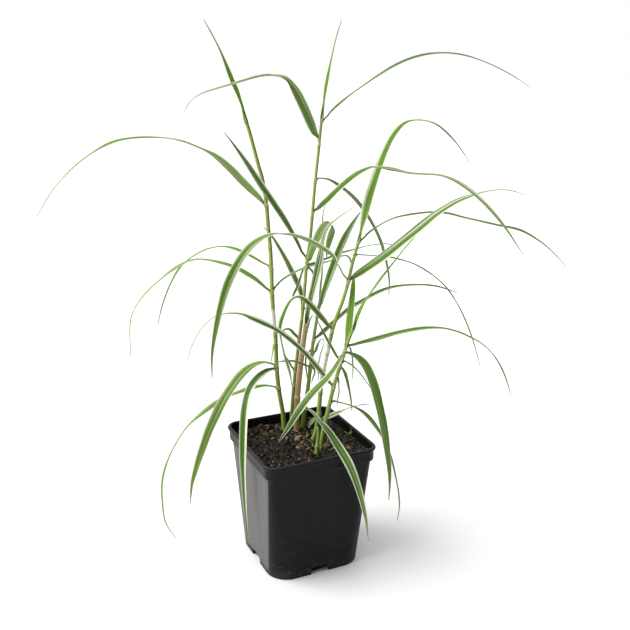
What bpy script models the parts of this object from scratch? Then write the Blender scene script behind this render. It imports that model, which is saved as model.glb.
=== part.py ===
"""Variegated ribbon grass in a square plastic nursery pot.

Metres, +Z up, origin at the middle of the pot's underside, front of the pot towards -Y.
Each culm, leaf and spear is a solid of its own. The soil has a pocket for every culm.
"""

import math
from typing import NamedTuple

import bmesh
import bpy
from mathutils import Matrix, Vector, noise

MM = 0.001

# Pot: outer widths of a rounded square, and heights
POT_HEIGHT = 120 * MM
RIM_WIDTH = 110 * MM
BAND_WIDTH = 106.5 * MM
SHOULDER_WIDTH = 101 * MM
BASE_WIDTH = 90 * MM
RIM_CORNER = 12.5 * MM
BASE_CORNER = 20 * MM
LIP_HEIGHT = 3.4 * MM
BAND_HEIGHT = 12.5 * MM
BAND_SLOPE = 1.8 * MM
LIP_ROUNDING = 1.2 * MM
WALL = 1.4 * MM
INNER_STEP_RISE = 1 * MM
FLOOR_LIFT = 7.5 * MM
FLOOR_THICKNESS = 1.6 * MM
CORNER_STEPS = 4

# Drainage: a notch in the foot of every side, and holes through the raised floor
NOTCH_WIDTH = 16 * MM
NOTCH_HEIGHT = 7 * MM
NOTCH_FLARE = 2 * MM
DRAIN_RADIUS = 4 * MM
DRAIN_RING = 26 * MM
ROUND_CUT_SIDES = 12
CUT_BEYOND = 5 * MM

# Clearance between pieces that touch
GAP = 0.3 * MM

# Soil: its lumps are noise at two sizes, the second one finer and lower by these factors, and it is
# banked up against the wall, most of all in the corner at the front right
SOIL_HEIGHT = 109 * MM
SOIL_BANK = 4 * MM
SOIL_CORNER_BANK = 4 * MM
SOIL_LUMP = 2.5 * MM
SOIL_LUMP_SIZE = 15 * MM
SOIL_FINER = 2.7
SOIL_LOWER = 0.375
SOIL_SIDE_STEPS = 4
SOIL_RINGS = 6
ROOT_DEPTH = 12 * MM
CULM_BURIAL = ROOT_DEPTH - GAP

# Culms: plain stations keep this many node lengths away from a node's swelling
CULM_STATION = 24 * MM
NODE_SWELLING = 1.2
NODE_LENGTH = 1.3 * MM
NODE_REACH = 2.5

# Blades: a thin folded ribbon, its keel lower than its edges. Along its length it opens from its
# foot over the first share, stays full, and narrows to its point from the second share on.
BLADE_THICKNESS = 0.8 * MM
BLADE_THIN_SHARE = 0.35
BLADE_THINNEST = 0.12 * MM
BLADE_NARROWEST = 0.5 * MM
BLADE_KEEL = 0.22
BLADE_STATION = 13 * MM
BLADE_FEWEST_STEPS = 7
BLADE_FOOT = 0.35
BLADE_OPEN_SHARE = 0.16
BLADE_TAPER_SHARE = 0.3
BLADE_TAPER_POWER = 1.8

# The view that the plant is laid out in. Places in the tables below are (x, y) in this view, in
# its pixels, and a depth is how far in front of the upright plane through the pot's middle a point
# lies, towards the viewer, in millimetres.
VIEW_SIZE = 630
VIEW_FOCAL = 50 / 36 * VIEW_SIZE
VIEW_AZIMUTH = math.radians(-25.3)
VIEW_ELEVATION = math.radians(17.3)
VIEW_ROLL = math.radians(0.41)
VIEW_DISTANCE = 0.778
VIEW_AIM_ASIDE = 13.1 * MM
VIEW_AIM_HEIGHT = 236.7 * MM

VIEW_ASIDE = Vector((math.cos(VIEW_AZIMUTH), math.sin(VIEW_AZIMUTH), 0))
VIEW_TOWARDS = Vector((math.sin(VIEW_AZIMUTH), -math.cos(VIEW_AZIMUTH), 0))
VIEW_BACK = VIEW_TOWARDS * math.cos(VIEW_ELEVATION) + Vector((0, 0, math.sin(VIEW_ELEVATION)))
VIEW_LEVEL_UP = VIEW_BACK.cross(VIEW_ASIDE)
VIEW_RIGHT = VIEW_ASIDE * math.cos(VIEW_ROLL) + VIEW_LEVEL_UP * math.sin(VIEW_ROLL)
VIEW_UP = VIEW_LEVEL_UP * math.cos(VIEW_ROLL) - VIEW_ASIDE * math.sin(VIEW_ROLL)
VIEWER = (
    Vector((0, 0, VIEW_AIM_HEIGHT)) + VIEW_ASIDE * VIEW_AIM_ASIDE + VIEW_BACK * VIEW_DISTANCE
)


class Culm(NamedTuple):
    """A stem: where it runs, its depths from soil to top, its thickness and the heights of its nodes."""

    colour: tuple
    base_diameter: float
    top_diameter: float
    depths: tuple
    route: tuple
    nodes: tuple


class Blade(NamedTuple):
    """A leaf or spear: the width it has, in mm, its depths past its foot, and where it runs.

    A route point is (x, y, shown): shown is how wide the blade looks there, which gives its turn,
    and is negative where its underside faces the viewer. A blade stands on its culm's top end or
    starts at its side.
    """

    culm: str
    width: float
    depths: tuple
    route: tuple
    on_top: bool = False


GREEN_CULM = (0.20, 0.30, 0.06)
PALE_CULM = (0.42, 0.46, 0.24)
BROWN_CULM = (0.36, 0.24, 0.12)
BLADE_GREEN = (0.16, 0.33, 0.08)
SPEAR_GREEN = (0.26, 0.42, 0.07)
POT_BLACK = (0.018, 0.019, 0.021)
SOIL_BROWN = (0.035, 0.024, 0.016)

CULMS = {
    "culm_left": Culm(
        GREEN_CULM, 4.4, 3.2, (-34, -34, -32, -30, -24),
        (
            (284, 429), (283, 414), (279.5, 394), (277.6, 379), (276.4, 362), (275.3, 336),
            (273.5, 316), (272, 292), (271.2, 266), (270, 246), (268, 225), (266.2, 203),
            (262.6, 180), (258.6, 166), (254.6, 151), (250, 134), (246, 121),
        ),
        (389, 367, 333, 294, 268, 246, 206),
    ),
    "culm_tall": Culm(
        GREEN_CULM, 3.6, 2.4, (-42, -38, -22, -6, 5),
        (
            (291, 428), (292.3, 404), (294.5, 379), (297.5, 353), (300, 333), (303.2, 306),
            (305, 284), (307, 260), (310, 240), (312.2, 216), (314, 195), (316.3, 171),
            (318.6, 150), (320.5, 130), (321.8, 118),
        ),
        (386, 319, 265, 215, 180, 144),
    ),
    "culm_brown": Culm(
        BROWN_CULM, 6.0, 4.4, (-34, -33, -30),
        ((296.5, 430), (297, 404), (299.3, 378), (302.5, 350), (306.2, 323)),
        (398,),
    ),
    "culm_back": Culm(
        GREEN_CULM, 4.6, 2.6, (-38, -36, -32),
        (
            (302.5, 429), (304.8, 409), (307.8, 389), (310.3, 368),
            (312.6, 346), (315.6, 326), (318.8, 308),
        ),
        (367, 342),
    ),
    "culm_middle": Culm(
        PALE_CULM, 4.6, 2.6, (-13, -13, -6, 0, 5),
        (
            (313.6, 442), (318, 420), (320.3, 394), (323, 374), (327.6, 352), (332, 332),
            (337, 316), (343, 300), (348, 283), (352.5, 263), (358.4, 242),
        ),
        (414, 391, 352, 331, 282),
    ),
    "culm_right": Culm(
        GREEN_CULM, 4.4, 3.0, (3, 6, 11, 15),
        (
            (321, 446), (324, 428), (328, 411), (332.3, 392), (337.5, 374), (342, 360),
            (345.5, 348), (349.6, 337), (353, 329),
        ),
        (388, 366, 351),
    ),
    "shoot_pale": Culm(
        PALE_CULM, 4.2, 2.2, (15, 14, 12),
        ((317, 452), (317.6, 443), (318.3, 434), (317.6, 427)),
        (445,),
    ),
}

BLADES = {
    "spear_left": Blade(
        "culm_left", 5.0, (-22, -20),
        (
            (245.6, 119.5, 2), (243.5, 110, 2.4), (240.2, 100, 3), (237, 91, 5), (233, 82, 4.8),
            (229, 72, 3.8), (225, 62, 2.5), (220, 50, 1.8), (213, 36, 1.2), (203.5, 19, 0.6),
        ),
        on_top=True,
    ),
    "leaf_left_great_arch": Blade(
        "culm_left", 8.5, (-50, -75, -90),
        (
            (266, 205, 2), (260, 198.5, 5), (250, 188.5, 7.5), (240, 178.5, 8), (230, 168, 7.5),
            (215, 155.5, 5.5), (200, 147.5, 2), (180, 140, 1.3), (160, 137, 1.4), (130, 138, 2.6),
            (110, 143, 3), (90, 154, 1.6), (72, 168.5, 1.1), (53, 189.5, 1), (37, 216, 0.6),
        ),
    ),
    "leaf_left_thin_arch": Blade(
        "culm_left", 4.6, (-62, -95, -115),
        (
            (269.5, 267, 1.6), (264.5, 263.8, 1.8), (257, 259.3, 2.8), (248, 254.2, 3.2),
            (240, 250.4, 3.2), (231, 247.5, 2.6), (221, 246.3, 1.6), (210, 248, 1.5),
            (199, 252.5, 1.5), (187, 260.4, 1.6), (178, 270, 2.2), (172, 280.5, 2),
            (166.5, 293, 1.6), (161, 310, 1.2), (158, 324.5, 0.6),
        ),
    ),
    "leaf_left_long_arch": Blade(
        "culm_left", 6.0, (-52, -72, -85),
        (
            (270.5, 292, 1.8), (264.5, 286.7, 3), (255.6, 279, 4.2), (246, 273, 4.6),
            (237, 268, 4.4), (228, 264.5, 3.8), (219, 262, 3), (209, 260, 1.3), (199, 259.2, 1.6),
            (188, 261, 2.6), (174, 268.8, 2.8), (160, 279.5, 2), (148.5, 290, 1.4),
            (137, 304, 1.2), (131.2, 317, 1.1), (129.8, 332, 1), (130.6, 356, 0.6),
        ),
    ),
    "leaf_left_inner": Blade(
        "culm_left", 3.6, (-40, -41, -41),
        (
            (274, 289.5, 1.6), (279.5, 282, 2), (288, 275.8, 2.4), (297, 271, 2.4),
            (306, 267.2, 2.4), (316, 264.4, 2.4), (326, 262, 2.2), (335, 259, 2),
            (344, 255.4, 1.8), (349.4, 257.5, 2), (351.4, 264, 1.6), (351, 272, 0.8),
        ),
    ),
    "leaf_left_low_sweep": Blade(
        "culm_left", 9.4, (-8, 12, 24),
        (
            (274.6, 365.4, 2), (270, 363.4, 1.5), (264, 362, 3), (256, 363.5, 5), (248, 368, 7.4),
            (239, 376.8, 9), (230, 389, 9.5), (222, 402, 9.5), (215, 416.5, 9.3), (208.5, 431, 8.6),
            (203, 447, 7.6), (198.3, 461, 6.7), (194.5, 474, 5.2), (191.8, 485, 3), (190.3, 503, 0.8),
        ),
    ),
    "leaf_left_over_corner": Blade(
        "culm_left", 8.2, (12, 32, 36, 34),
        (
            (275, 368.6, 2), (268, 370, 4.5), (261, 374.5, 6.4), (254.5, 381.5, 7.6), (249.5, 389.5, 8),
            (246.2, 400, 8), (244.2, 413, 8), (243.2, 430, 8), (242.7, 448, 7.4), (242.8, 466, 6),
            (243.5, 484, 4.8), (244.6, 502, 3.6), (246.2, 521, 2.4), (248.4, 543, 0.9),
        ),
    ),
    "leaf_left_low_long": Blade(
        "culm_left", 5.6, (-36, -26, 2, 16),
        (
            (276, 388, 1.5), (270, 385.9, 1.5), (264, 385.4, 3), (256, 386.6, 4), (248, 388.6, 4.6),
            (239, 391.8, 4), (229, 395.6, 3.6), (219, 400.6, 5), (208, 408.8, 5), (197, 417.3, 3.8),
            (188, 425.5, 2), (180, 436.5, 1.2), (172, 450.5, 1.6), (166, 465, 2.4), (162.4, 481, 2.2),
            (162.3, 500, 2), (165.5, 522, 1.2), (176, 538, 0.6),
        ),
    ),
    "spear_tall": Blade(
        "culm_tall", 3.4, (8, 10),
        (
            (322, 115.8, 2), (323.2, 108, 2.2), (324.4, 98, 2.4), (325.7, 88, 3.3), (327.4, 78, 3.3),
            (329.6, 67, 2.4), (332.4, 54, 1.4), (336.4, 37, 1), (341.5, 20, 0.6),
        ),
        on_top=True,
    ),
    "leaf_tall_thin_arch": Blade(
        "culm_tall", 3.4, (-12, -32, -60),
        (
            (323.6, 121.5, 1.5), (330, 112.5, 2), (340, 103, 2.5), (351, 94, 1.8), (364, 85, 1.9),
            (380, 74, 2.2), (395, 65, 3), (412, 57.8, 2.4), (430, 53.5, 2), (450, 53, 1.5),
            (470, 56.5, 1.2), (490, 64, 0.9), (510, 74, 0.8), (530, 87, 0.6),
        ),
    ),
    "leaf_tall_folded": Blade(
        "culm_tall", 10.0, (8, 12, 26, 44),
        (
            (317.4, 138.5, 4), (313.5, 130, 8), (309, 119, 9), (304, 107.5, 9.5), (299, 97, 10),
            (294, 88, 8.5), (288, 79.5, 4), (280, 75.6, 3), (270, 74.2, -2), (258, 76, -1.4),
            (246, 79.4, -2.4), (232, 83.6, -3), (218, 88, -2), (203, 92.8, -1.1), (191, 100.5, -0.9),
            (183.5, 113, -0.6),
        ),
    ),
    "leaf_tall_behind": Blade(
        "culm_tall", 4.6, (-26, -36, -42),
        (
            (317.4, 179.2, 1.4), (323, 178.4, 1.3), (329, 179.6, 2), (336, 183.4, 3), (345, 189.6, 3.5),
            (354, 197.8, 3.8), (361, 206, 3.6), (368, 216, 3.4), (375, 228.5, 3.2), (381, 242, 3),
            (385, 256, 2.6), (388, 270, 2.2), (389.3, 282, 1.6), (388.8, 295, 0.8),
        ),
    ),
    "leaf_tall_long_right": Blade(
        "culm_tall", 6.2, (24, 46, 62, 75),
        (
            (314.6, 211.6, 3), (320, 206.4, 5), (328, 199, 6), (337, 190, 6), (347, 181.2, 6),
            (357, 173.6, 5), (366, 169, 4.3), (373, 166.6, 2.2), (379, 166.9, -1), (387, 168.3, -4.8),
            (397, 169.8, -4), (410, 172.8, -1.8), (425, 174, -1.5), (440, 175, -2.2), (455, 180.2, -3.5),
            (470, 190, -4), (483, 201.5, -3.9), (495, 214.6, -3.6), (507, 230, -2.2), (523, 254.5, -0.6),
        ),
    ),
    "leaf_tall_dark": Blade(
        "culm_tall", 6.4, (-13, -9, -2),
        (
            (304.4, 257.5, 1.8), (297.4, 242, 3.6), (291, 230, 5), (284, 218.4, 5.6), (277, 208, 6),
            (270, 197.5, 6.5), (263, 187.5, 6.8), (256.6, 177.6, 6.4), (250, 167.5, 5.5),
            (244, 158.8, 4.3), (237, 149, 3), (230, 139.6, 1.6), (223, 131, 0.6),
        ),
    ),
    "leaf_tall_bright_fold": Blade(
        "culm_tall", 7.4, (-6, -5, -4, -8),
        (
            (308.2, 261.5, 3), (310.6, 254, 6), (313.8, 246, 7.4), (317.2, 237.5, 7.6),
            (321, 229.6, 7.4), (325.5, 223.6, 6), (331, 223.6, 4), (332.6, 228.6, -5.6),
            (330.6, 236, -6.6), (328.6, 243.5, -5.6), (327.2, 251, -3), (326.4, 258, -0.8),
        ),
    ),
    "leaf_tall_low_left": Blade(
        "culm_tall", 3.4, (-30, -32),
        (
            (305.2, 266.4, 1.4), (302.8, 270.5, 2), (301.2, 275, 2.5), (299.6, 281, 2.8),
            (297.4, 287, 3), (294.6, 292.6, 2.8), (292.4, 297.5, 1.6), (291, 302, 0.8),
        ),
    ),
    "leaf_tall_thin_right": Blade(
        "culm_tall", 3.0, (-34, -37, -44),
        (
            (309.6, 265.6, 2.4), (316, 262.6, 2.8), (322, 260, 2.6),
            (329, 257.6, 2.4), (336, 254.6, 2.2),
            (343, 252.2, 2.2), (350, 250.4, 2.3), (358, 248.2, 1.6), (366, 246.2, 1), (376, 244.4, 0.8),
            (386, 243.8, 1), (395, 245.4, 0.6),
        ),
    ),
    "leaf_tall_up_left": Blade(
        "culm_tall", 5.8, (-44, -48, -52),
        (
            (302, 308, 2), (302.2, 299, 4), (299.6, 288, 5.6), (295, 277.8, 5.6), (290, 267.5, 5),
            (284.6, 257, 4.4), (278.6, 246.6, 3.6), (273, 237.6, 2.4),
            (267.6, 231.2, 1.4), (262.6, 226, 0.6),
        ),
    ),
    "leaf_tall_small_arch": Blade(
        "culm_tall", 3.4, (-38, -40),
        (
            (297.4, 338.6, 2.2), (295.4, 335.6, 3), (293, 332.4, 3.4), (290.4, 329.8, 2.8),
            (287.4, 328.8, 2), (284, 329.8, 2), (281, 331.6, 0.8),
        ),
    ),
    "leaf_tall_short": Blade(
        "culm_tall", 2.4, (-42, -44),
        ((293.4, 370.6, 1.2), (291.6, 367, 2), (289.8, 363.4, 2.2), (288, 360, 2), (286, 356.6, 0.8)),
    ),
    "leaf_brown_top": Blade(
        "culm_brown", 7.8, (-17, -4, 3, 7),
        (
            (306.8, 319.5, 4), (308, 311, 5.4), (310, 301, 6.2),
            (312.4, 290.6, 6.8), (315.2, 279.6, 7.6),
            (318, 268, 7.8), (320.4, 256, 7.4), (322, 245, 5.4), (324.4, 234.6, 4.4), (329, 225.8, 3),
            (335.6, 219.6, 1.6), (344, 213.6, 1.1), (352, 208.3, 0.6),
        ),
        on_top=True,
    ),
    "leaf_back_top": Blade(
        "culm_back", 7.8, (-18, -14, -10),
        (
            (320, 305.4, 2.6), (321.8, 299, 4.4), (324.6, 290, 6.2), (328, 280.6, 7), (331.8, 270, 7.6),
            (335.4, 260.6, 7.6), (339.4, 250, 7.2), (344, 239.6, 7), (349, 230, 5.4), (354, 221.6, 3.8),
            (360.4, 212, 1),
        ),
    ),
    "spear_back": Blade(
        "culm_back", 2.2, (-31, -32),
        (
            (319, 305.5, 2), (320, 296, 2.2), (320.6, 286, 2), (321.8, 276, 1.8), (322.8, 262, 1.6),
            (322.6, 246, 1.4), (322, 230, 1.3), (323, 215, 1), (325, 205, 0.6),
        ),
        on_top=True,
    ),
    "leaf_back_right": Blade(
        "culm_back", 4.6, (-40, -58, -66, -72),
        (
            (315, 339.4, 2), (318.4, 336.2, 3), (323, 331.8, 4.6),
            (328.5, 326.6, 4.4), (335, 320.6, 4.2),
            (343, 313.4, 4.4), (351, 307, 4.2), (359, 302.4, 3.8), (368, 297.2, 3.8), (377, 292.4, 4),
            (387, 288.4, 3), (397, 286, 2.4), (410, 284.8, 2.2), (424, 284.7, 1.8), (437, 286.2, 1.6),
            (448, 289.4, 1.2), (457.5, 293, 0.6),
        ),
    ),
    "leaf_back_fold": Blade(
        "culm_back", 3.2, (-26, -22, -24),
        (
            (314, 354.6, 2.2), (316.4, 348.6, 3), (318.8, 342.8, 2.4), (321.4, 338.6, 1.2),
            (323.6, 339.4, 0.3), (324, 343.4, -1.2), (322.6, 348.4, -1.8), (320.6, 354, -1.8),
            (319.4, 360, -1.7), (318, 366.5, -1.5), (318.2, 373, -1.2), (318.7, 380.5, -0.6),
        ),
    ),
    "leaf_back_left": Blade(
        "culm_back", 2.6, (-25, -24, -27),
        (
            (308.8, 366.4, 2), (304, 364.4, 2), (298.5, 362.4, 2.1),
            (292.5, 360.9, 2.3), (286.5, 360.8, 2.2),
            (281.5, 361.3, 1.6), (277, 362.4, 0.8),
        ),
    ),
    "leaf_back_hanging": Blade(
        "culm_back", 1.8, (-42, -44),
        (
            (310.6, 350, 1.1), (308, 352.8, 1.4), (306, 357, 1.8), (305.6, 362, 1.8), (306, 368, 1.7),
            (306.8, 374, 1.3), (307.3, 380, 0.6),
        ),
    ),
    "leaf_back_over_rim": Blade(
        "culm_back", 8.8, (31, 40, 45, 49, 50, 49, 47, 45),
        (
            (306.8, 407.6, 1.6), (311, 410.8, 2.5), (316, 415.6, 2.8),
            (320.4, 421, 3.8), (325.4, 427, 5.6),
            (331, 434.6, 7), (337, 444, 8.4), (343, 453.6, 9), (349, 464, 9), (354, 475.5, 8),
            (358, 487, 7), (361.5, 499, 5.8), (364.5, 512, 4.4), (366.8, 525, 2.6), (368.5, 541, 0.8),
        ),
    ),
    "leaf_middle_top": Blade(
        "culm_middle", 9.0, (7, 6, -4, -16),
        (
            (359.6, 237.2, 2.4), (360.6, 231, 3.4), (362.6, 222, 5.6), (365.2, 211, 8), (368, 199.5, 9),
            (371.4, 188, 9), (375, 177, 8.6), (379, 165.5, 7.6), (384, 152.6, 7), (390.6, 139, 6.6),
            (397.6, 129, 5.6), (404, 123, 3.4), (412, 120, 1.6), (424, 119.8, 1), (436, 124, 1.5),
            (448, 133.6, 1.7), (458, 145, 1.3), (469, 161, 0.6),
        ),
        on_top=True,
    ),
    "leaf_middle_thin": Blade(
        "culm_middle", 3.2, (-14, -34, -56),
        (
            (360.8, 242.4, 1.6), (365.4, 236, 2), (371.4, 230.4, 1.8),
            (379, 225.3, 1.6), (389, 220, 1.5),
            (400, 216.4, 1.7), (415, 213.6, 2), (432, 212, 2.2), (448, 213.2, 2), (464, 217.2, 2),
            (482, 221.4, 2), (500, 225.4, 2.1), (518, 229.2, 2.5), (532, 236, 2), (548, 247.5, 1.2),
            (566, 266, 0.6),
        ),
    ),
    "leaf_middle_wide": Blade(
        "culm_middle", 9.0, (13, 19, 20),
        (
            (350.6, 280.4, 3), (354.6, 276.4, 5.6), (361, 272, 7.6), (370, 265.8, 8.4), (380, 259, 8.8),
            (391, 250.6, 9), (402, 241.6, 9), (413, 233, 9), (425, 223, 8.8), (436, 214, 7.4),
            (447, 206.8, 6), (458, 200.6, 5), (468, 196.6, 3.8), (480, 192.7, 2.2), (494, 190, 1.1),
            (510, 190.3, 0.9), (524, 194.5, 0.6),
        ),
    ),
    "leaf_middle_front_arch": Blade(
        "culm_middle", 9.4, (30, 50, 62, 68),
        (
            (345.4, 279.4, 1.2), (342, 271.6, 1.2), (338.6, 265, 1.8), (334.4, 257.4, -3.8),
            (328, 251.6, -4.8), (319, 245.6, -5), (309, 240, -5), (298, 236, -4), (287, 233.6, -2),
            (277, 232.8, 2), (268, 234.8, 4), (259, 239.4, 6.2), (249.6, 247.4, 8.2), (240.6, 259, 9),
            (232.4, 273.6, 9), (226, 289, 8.6), (220.6, 307.6, 7.2),
            (216.4, 326.4, 5.6), (213.2, 345, 3.8),
            (211.8, 361, 2.4), (212.2, 378, 0.8),
        ),
    ),
    "leaf_middle_falling": Blade(
        "culm_middle", 6.2, (2, 2, -6, -12, -14),
        (
            (331, 328.2, 3), (326, 322.4, 5), (320, 315, 6), (314, 308, 6), (308, 302, 5.6),
            (302.6, 298, 4.2), (297.4, 296.4, 2.4), (291.8, 299, 4.4),
            (287.6, 304.4, 4), (284.6, 310.6, 4.2),
            (281.8, 318, 4.6), (279.8, 326.5, 4.6), (280.2, 335.5, 2.6),
            (281.8, 344, 2), (283.8, 352.5, 2),
            (286.2, 361.5, 2.8), (288.8, 369, 2.8), (290.7, 377, 1.8), (291.6, 385, 0.7),
        ),
    ),
    "leaf_middle_far_arch": Blade(
        "culm_middle", 2.4, (-44, -74, -92),
        (
            (357, 255.3, 1.2), (366, 255, 1), (376, 255.6, 1), (387, 256.8, 1.3), (399, 259, 1.4),
            (412, 263, 1.2), (425, 269.8, 1.3), (437, 278.4, 1.2),
            (447.6, 289, 1.3), (456.6, 302.4, 1.1),
            (464.5, 318, 1.3), (471.4, 335.4, 1.3), (476, 350.5, 0.9), (480, 366, 0.5),
        ),
    ),
    "leaf_middle_low": Blade(
        "culm_middle", 3.2, (-6, -4),
        (
            (316.2, 416.6, 1.4), (313.6, 419, 2.6), (311.4, 421.8, 3),
            (309.6, 424.8, 2.4), (308.2, 428, 0.8),
        ),
    ),
    "leaf_middle_striped": Blade(
        "culm_middle", 4.8, (-14, -26, -36),
        (
            (320.2, 420, 1.6), (325, 418, 2.8), (330, 415.8, 4.8),
            (335.4, 413.4, 4.6), (340.4, 411.2, 2.8),
            (346, 408.8, 1.4), (352, 406.9, 1), (360, 405, 1.1), (370, 404.2, 0.5),
        ),
    ),
    "spear_right": Blade(
        "culm_right", 3.8, (10, 2, -5),
        (
            (353.6, 327.6, 2.4), (355.6, 320.4, 3.4), (359, 311.8, 4),
            (363, 303.8, 3.2), (368, 296.6, 2),
            (374, 288.2, 2), (381, 278.2, 2.2), (389, 268, 2), (397.4, 257.6, 1.4), (406, 246.6, 1.1),
            (415, 237, 0.8), (424, 228.5, 0.4),
        ),
        on_top=True,
    ),
    "leaf_right_upright": Blade(
        "culm_right", 7.8, (4, 0, -7),
        (
            (347.2, 344, 2.2), (347.4, 337.6, 4), (348.4, 330, 6.8), (349.6, 320, 7.6), (350.8, 310, 7),
            (352, 300, 6), (352.8, 291, 5.2), (353.4, 283, 4), (353.8, 275.6, 1),
        ),
    ),
    "leaf_right_long": Blade(
        "culm_right", 5.0, (26, 40, 54),
        (
            (349.6, 346.8, 2), (354, 344.6, 3), (361, 342.4, 3.6), (370, 340.2, 5), (381, 337.2, 5),
            (392, 334, 4.8), (404, 331.2, 4.6), (417, 328.9, 4.1), (430, 327.6, 3), (443, 328, 2.3),
            (456, 331, 2), (469, 336.4, 1.5), (481, 342.8, 1.2), (492, 353, 1.1), (501, 367, 1.4),
            (506.6, 380.5, 1.4), (510.8, 395, 0.5),
        ),
    ),
    "leaf_right_broad": Blade(
        "culm_right", 9.0, (34, 38, 34),
        (
            (348.4, 353, 2), (353.6, 354.6, 4), (360, 358.8, 7), (365.4, 365, 8.6), (369.8, 373.6, 9),
            (373.4, 383, 9), (376.4, 393, 8.8), (379, 403.6, 8.6), (381.6, 415.4, 8.2), (384, 428, 8),
            (386.2, 442, 7.4), (388.2, 458, 5.8), (389.6, 473, 4), (389.7, 487, 2.2), (388.7, 500, 0.8),
        ),
    ),
    "leaf_right_front": Blade(
        "culm_right", 8.6, (28, 30, 22),
        (
            (343, 355.4, 3), (339.4, 360, 4.4), (335.4, 366.6, 5.4),
            (330.6, 373.2, 5.8), (325, 380, 6.6),
            (318.4, 386.6, 7.4), (311.8, 393.6, 8), (305.6, 401, 8.2),
            (299.8, 409, 7.6), (294.4, 417.2, 6.6),
            (289.2, 426, 5), (284, 434, 3.2), (278.6, 442.4, 0.9),
        ),
    ),
    "leaf_right_across": Blade(
        "culm_right", 6.2, (12, 11, 12, 10, 4),
        (
            (332.2, 386, 3), (328, 380.4, 4.4), (323, 373.8, 5.2),
            (316.6, 366, 5.4), (309.4, 357.4, 5.2),
            (302.6, 350.2, 5.4), (295.6, 343.8, 5.2), (288, 337.4, 5.2),
            (280.6, 332, 4.8), (273.4, 327.6, 5.2),
            (266, 324.2, 6), (258.6, 320.8, 6), (251, 317.6, 4.8), (243.6, 314.4, 2.2), (234, 313, 2.2),
            (224, 313.6, 1.8), (213.6, 317.2, 1.4), (203.4, 326, 1.2),
            (196, 337, 1.2), (190.6, 349, 0.9),
            (187.4, 361, 0.5),
        ),
    ),
    "leaf_right_folded": Blade(
        "culm_right", 3.0, (6, -2, -10, -20),
        (
            (339.4, 361.4, 1.6), (337, 357, 2.6), (333.8, 351, 3), (330.4, 344.8, 3), (326.8, 338.8, 3),
            (323, 331.6, 1.8), (319.6, 325, 1.4), (316.6, 318.8, 1),
            (313.6, 315, 0.3), (310.8, 317.6, -1.2),
            (309.2, 322.6, -1.8), (308, 328, -1.5), (307.4, 333, -0.6),
        ),
    ),
    "leaf_right_over_side": Blade(
        "culm_right", 5.2, (0, -4, 2, 10),
        (
            (335.4, 401.8, 1.8), (340, 402.4, 1.2), (346, 404, 1.2),
            (352, 405.8, 1.2), (357.4, 408.4, 2.4),
            (363, 412, 3.8), (369, 417.6, 4.6), (375, 425, 4), (380.4, 433, 3), (385.4, 442.6, 2.6),
            (389.6, 453, 2.2), (393, 464.6, 2), (396, 478, 1.8), (398.6, 493, 1.6), (399.3, 507, 1.2),
            (397, 521, 0.5),
        ),
    ),
    "leaf_right_narrow": Blade(
        "culm_right", 3.4, (18, 23),
        (
            (343.2, 367.6, 1.8), (344.8, 372, 3), (346.6, 378, 3.1),
            (348.2, 384.6, 2.7), (349.6, 391.4, 2.2),
            (350.8, 398.6, 1.8), (351.4, 405, 1.2), (351.6, 411, 0.5),
        ),
    ),
    "leaf_right_thin": Blade(
        "culm_right", 1.8, (0, -8),
        (
            (344.4, 361.4, 1.2), (348.6, 363.2, 1.4), (353.4, 366.2, 1.5), (358.4, 371.4, 1.4),
            (363.4, 377.6, 1.2), (367.6, 383.6, 1), (371.6, 390, 0.5),
        ),
    ),
    "leaf_right_drooping": Blade(
        "culm_right", 2.2, (3, 3, 4),
        (
            (351.2, 346.4, 1.4), (351.8, 353.5, 2), (352.5, 360, 1.6),
            (353, 366, 1.3), (352.8, 373, 1.1),
            (352.5, 379, 0.5),
        ),
    ),
    "leaf_right_hanging": Blade(
        "culm_right", 1.8, (14, 15),
        (
            (338.3, 378, 1.2), (338.8, 385, 1.4), (339, 392, 1.5), (337.9, 398, 1.4), (337, 406.5, 0.5),
        ),
    ),
    "leaf_tall_drooping": Blade(
        "culm_tall", 2.6, (-18, -17),
        (
            (309.2, 267.6, 1.4), (311.4, 269.6, 2.4), (313, 272.8, 2.4),
            (313.6, 276.6, 1.4), (313.2, 280, 0.6),
        ),
    ),
    "leaf_left_pale": Blade(
        "culm_left", 1.8, (-28, -27),
        ((274, 344.6, 1), (272.8, 350.4, 1.5), (271.9, 356.6, 1.2), (271, 362.6, 0.5)),
    ),
    "leaf_back_small": Blade(
        "culm_back", 2.2, (-30, -28),
        ((316.4, 366.6, 1.4), (314.9, 371.6, 2), (313.2, 377, 1.6), (311.5, 382.6, 0.6)),
    ),
}


def ray_through(x, y):
    """Direction from the viewer through a place in the view."""
    across = (x - VIEW_SIZE / 2) / VIEW_FOCAL
    down = (y - VIEW_SIZE / 2) / VIEW_FOCAL
    return VIEW_RIGHT * across - VIEW_UP * down - VIEW_BACK


def placed(x, y, depth):
    """The point seen at (x, y) that lies this far in front of the pot's middle."""
    ray = ray_through(x, y)
    return VIEWER + ray * ((depth - VIEWER.dot(VIEW_TOWARDS)) / ray.dot(VIEW_TOWARDS))


def seen_height(point):
    """The y at which the view shows a point."""
    offset = point - VIEWER
    return VIEW_SIZE / 2 + VIEW_FOCAL * offset.dot(VIEW_UP) / offset.dot(VIEW_BACK)


def pixel_size(point):
    """The real size of one of the view's pixels at a point's distance."""
    return -(point - VIEWER).dot(VIEW_BACK) / VIEW_FOCAL


def mixed(values, share):
    """A value this share of the way through evenly spaced values, along straight lines."""
    place = min(max(share, 0.0), 1.0) * (len(values) - 1)
    index = min(int(place), len(values) - 2)
    return values[index] + (values[index + 1] - values[index]) * (place - index)


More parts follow.
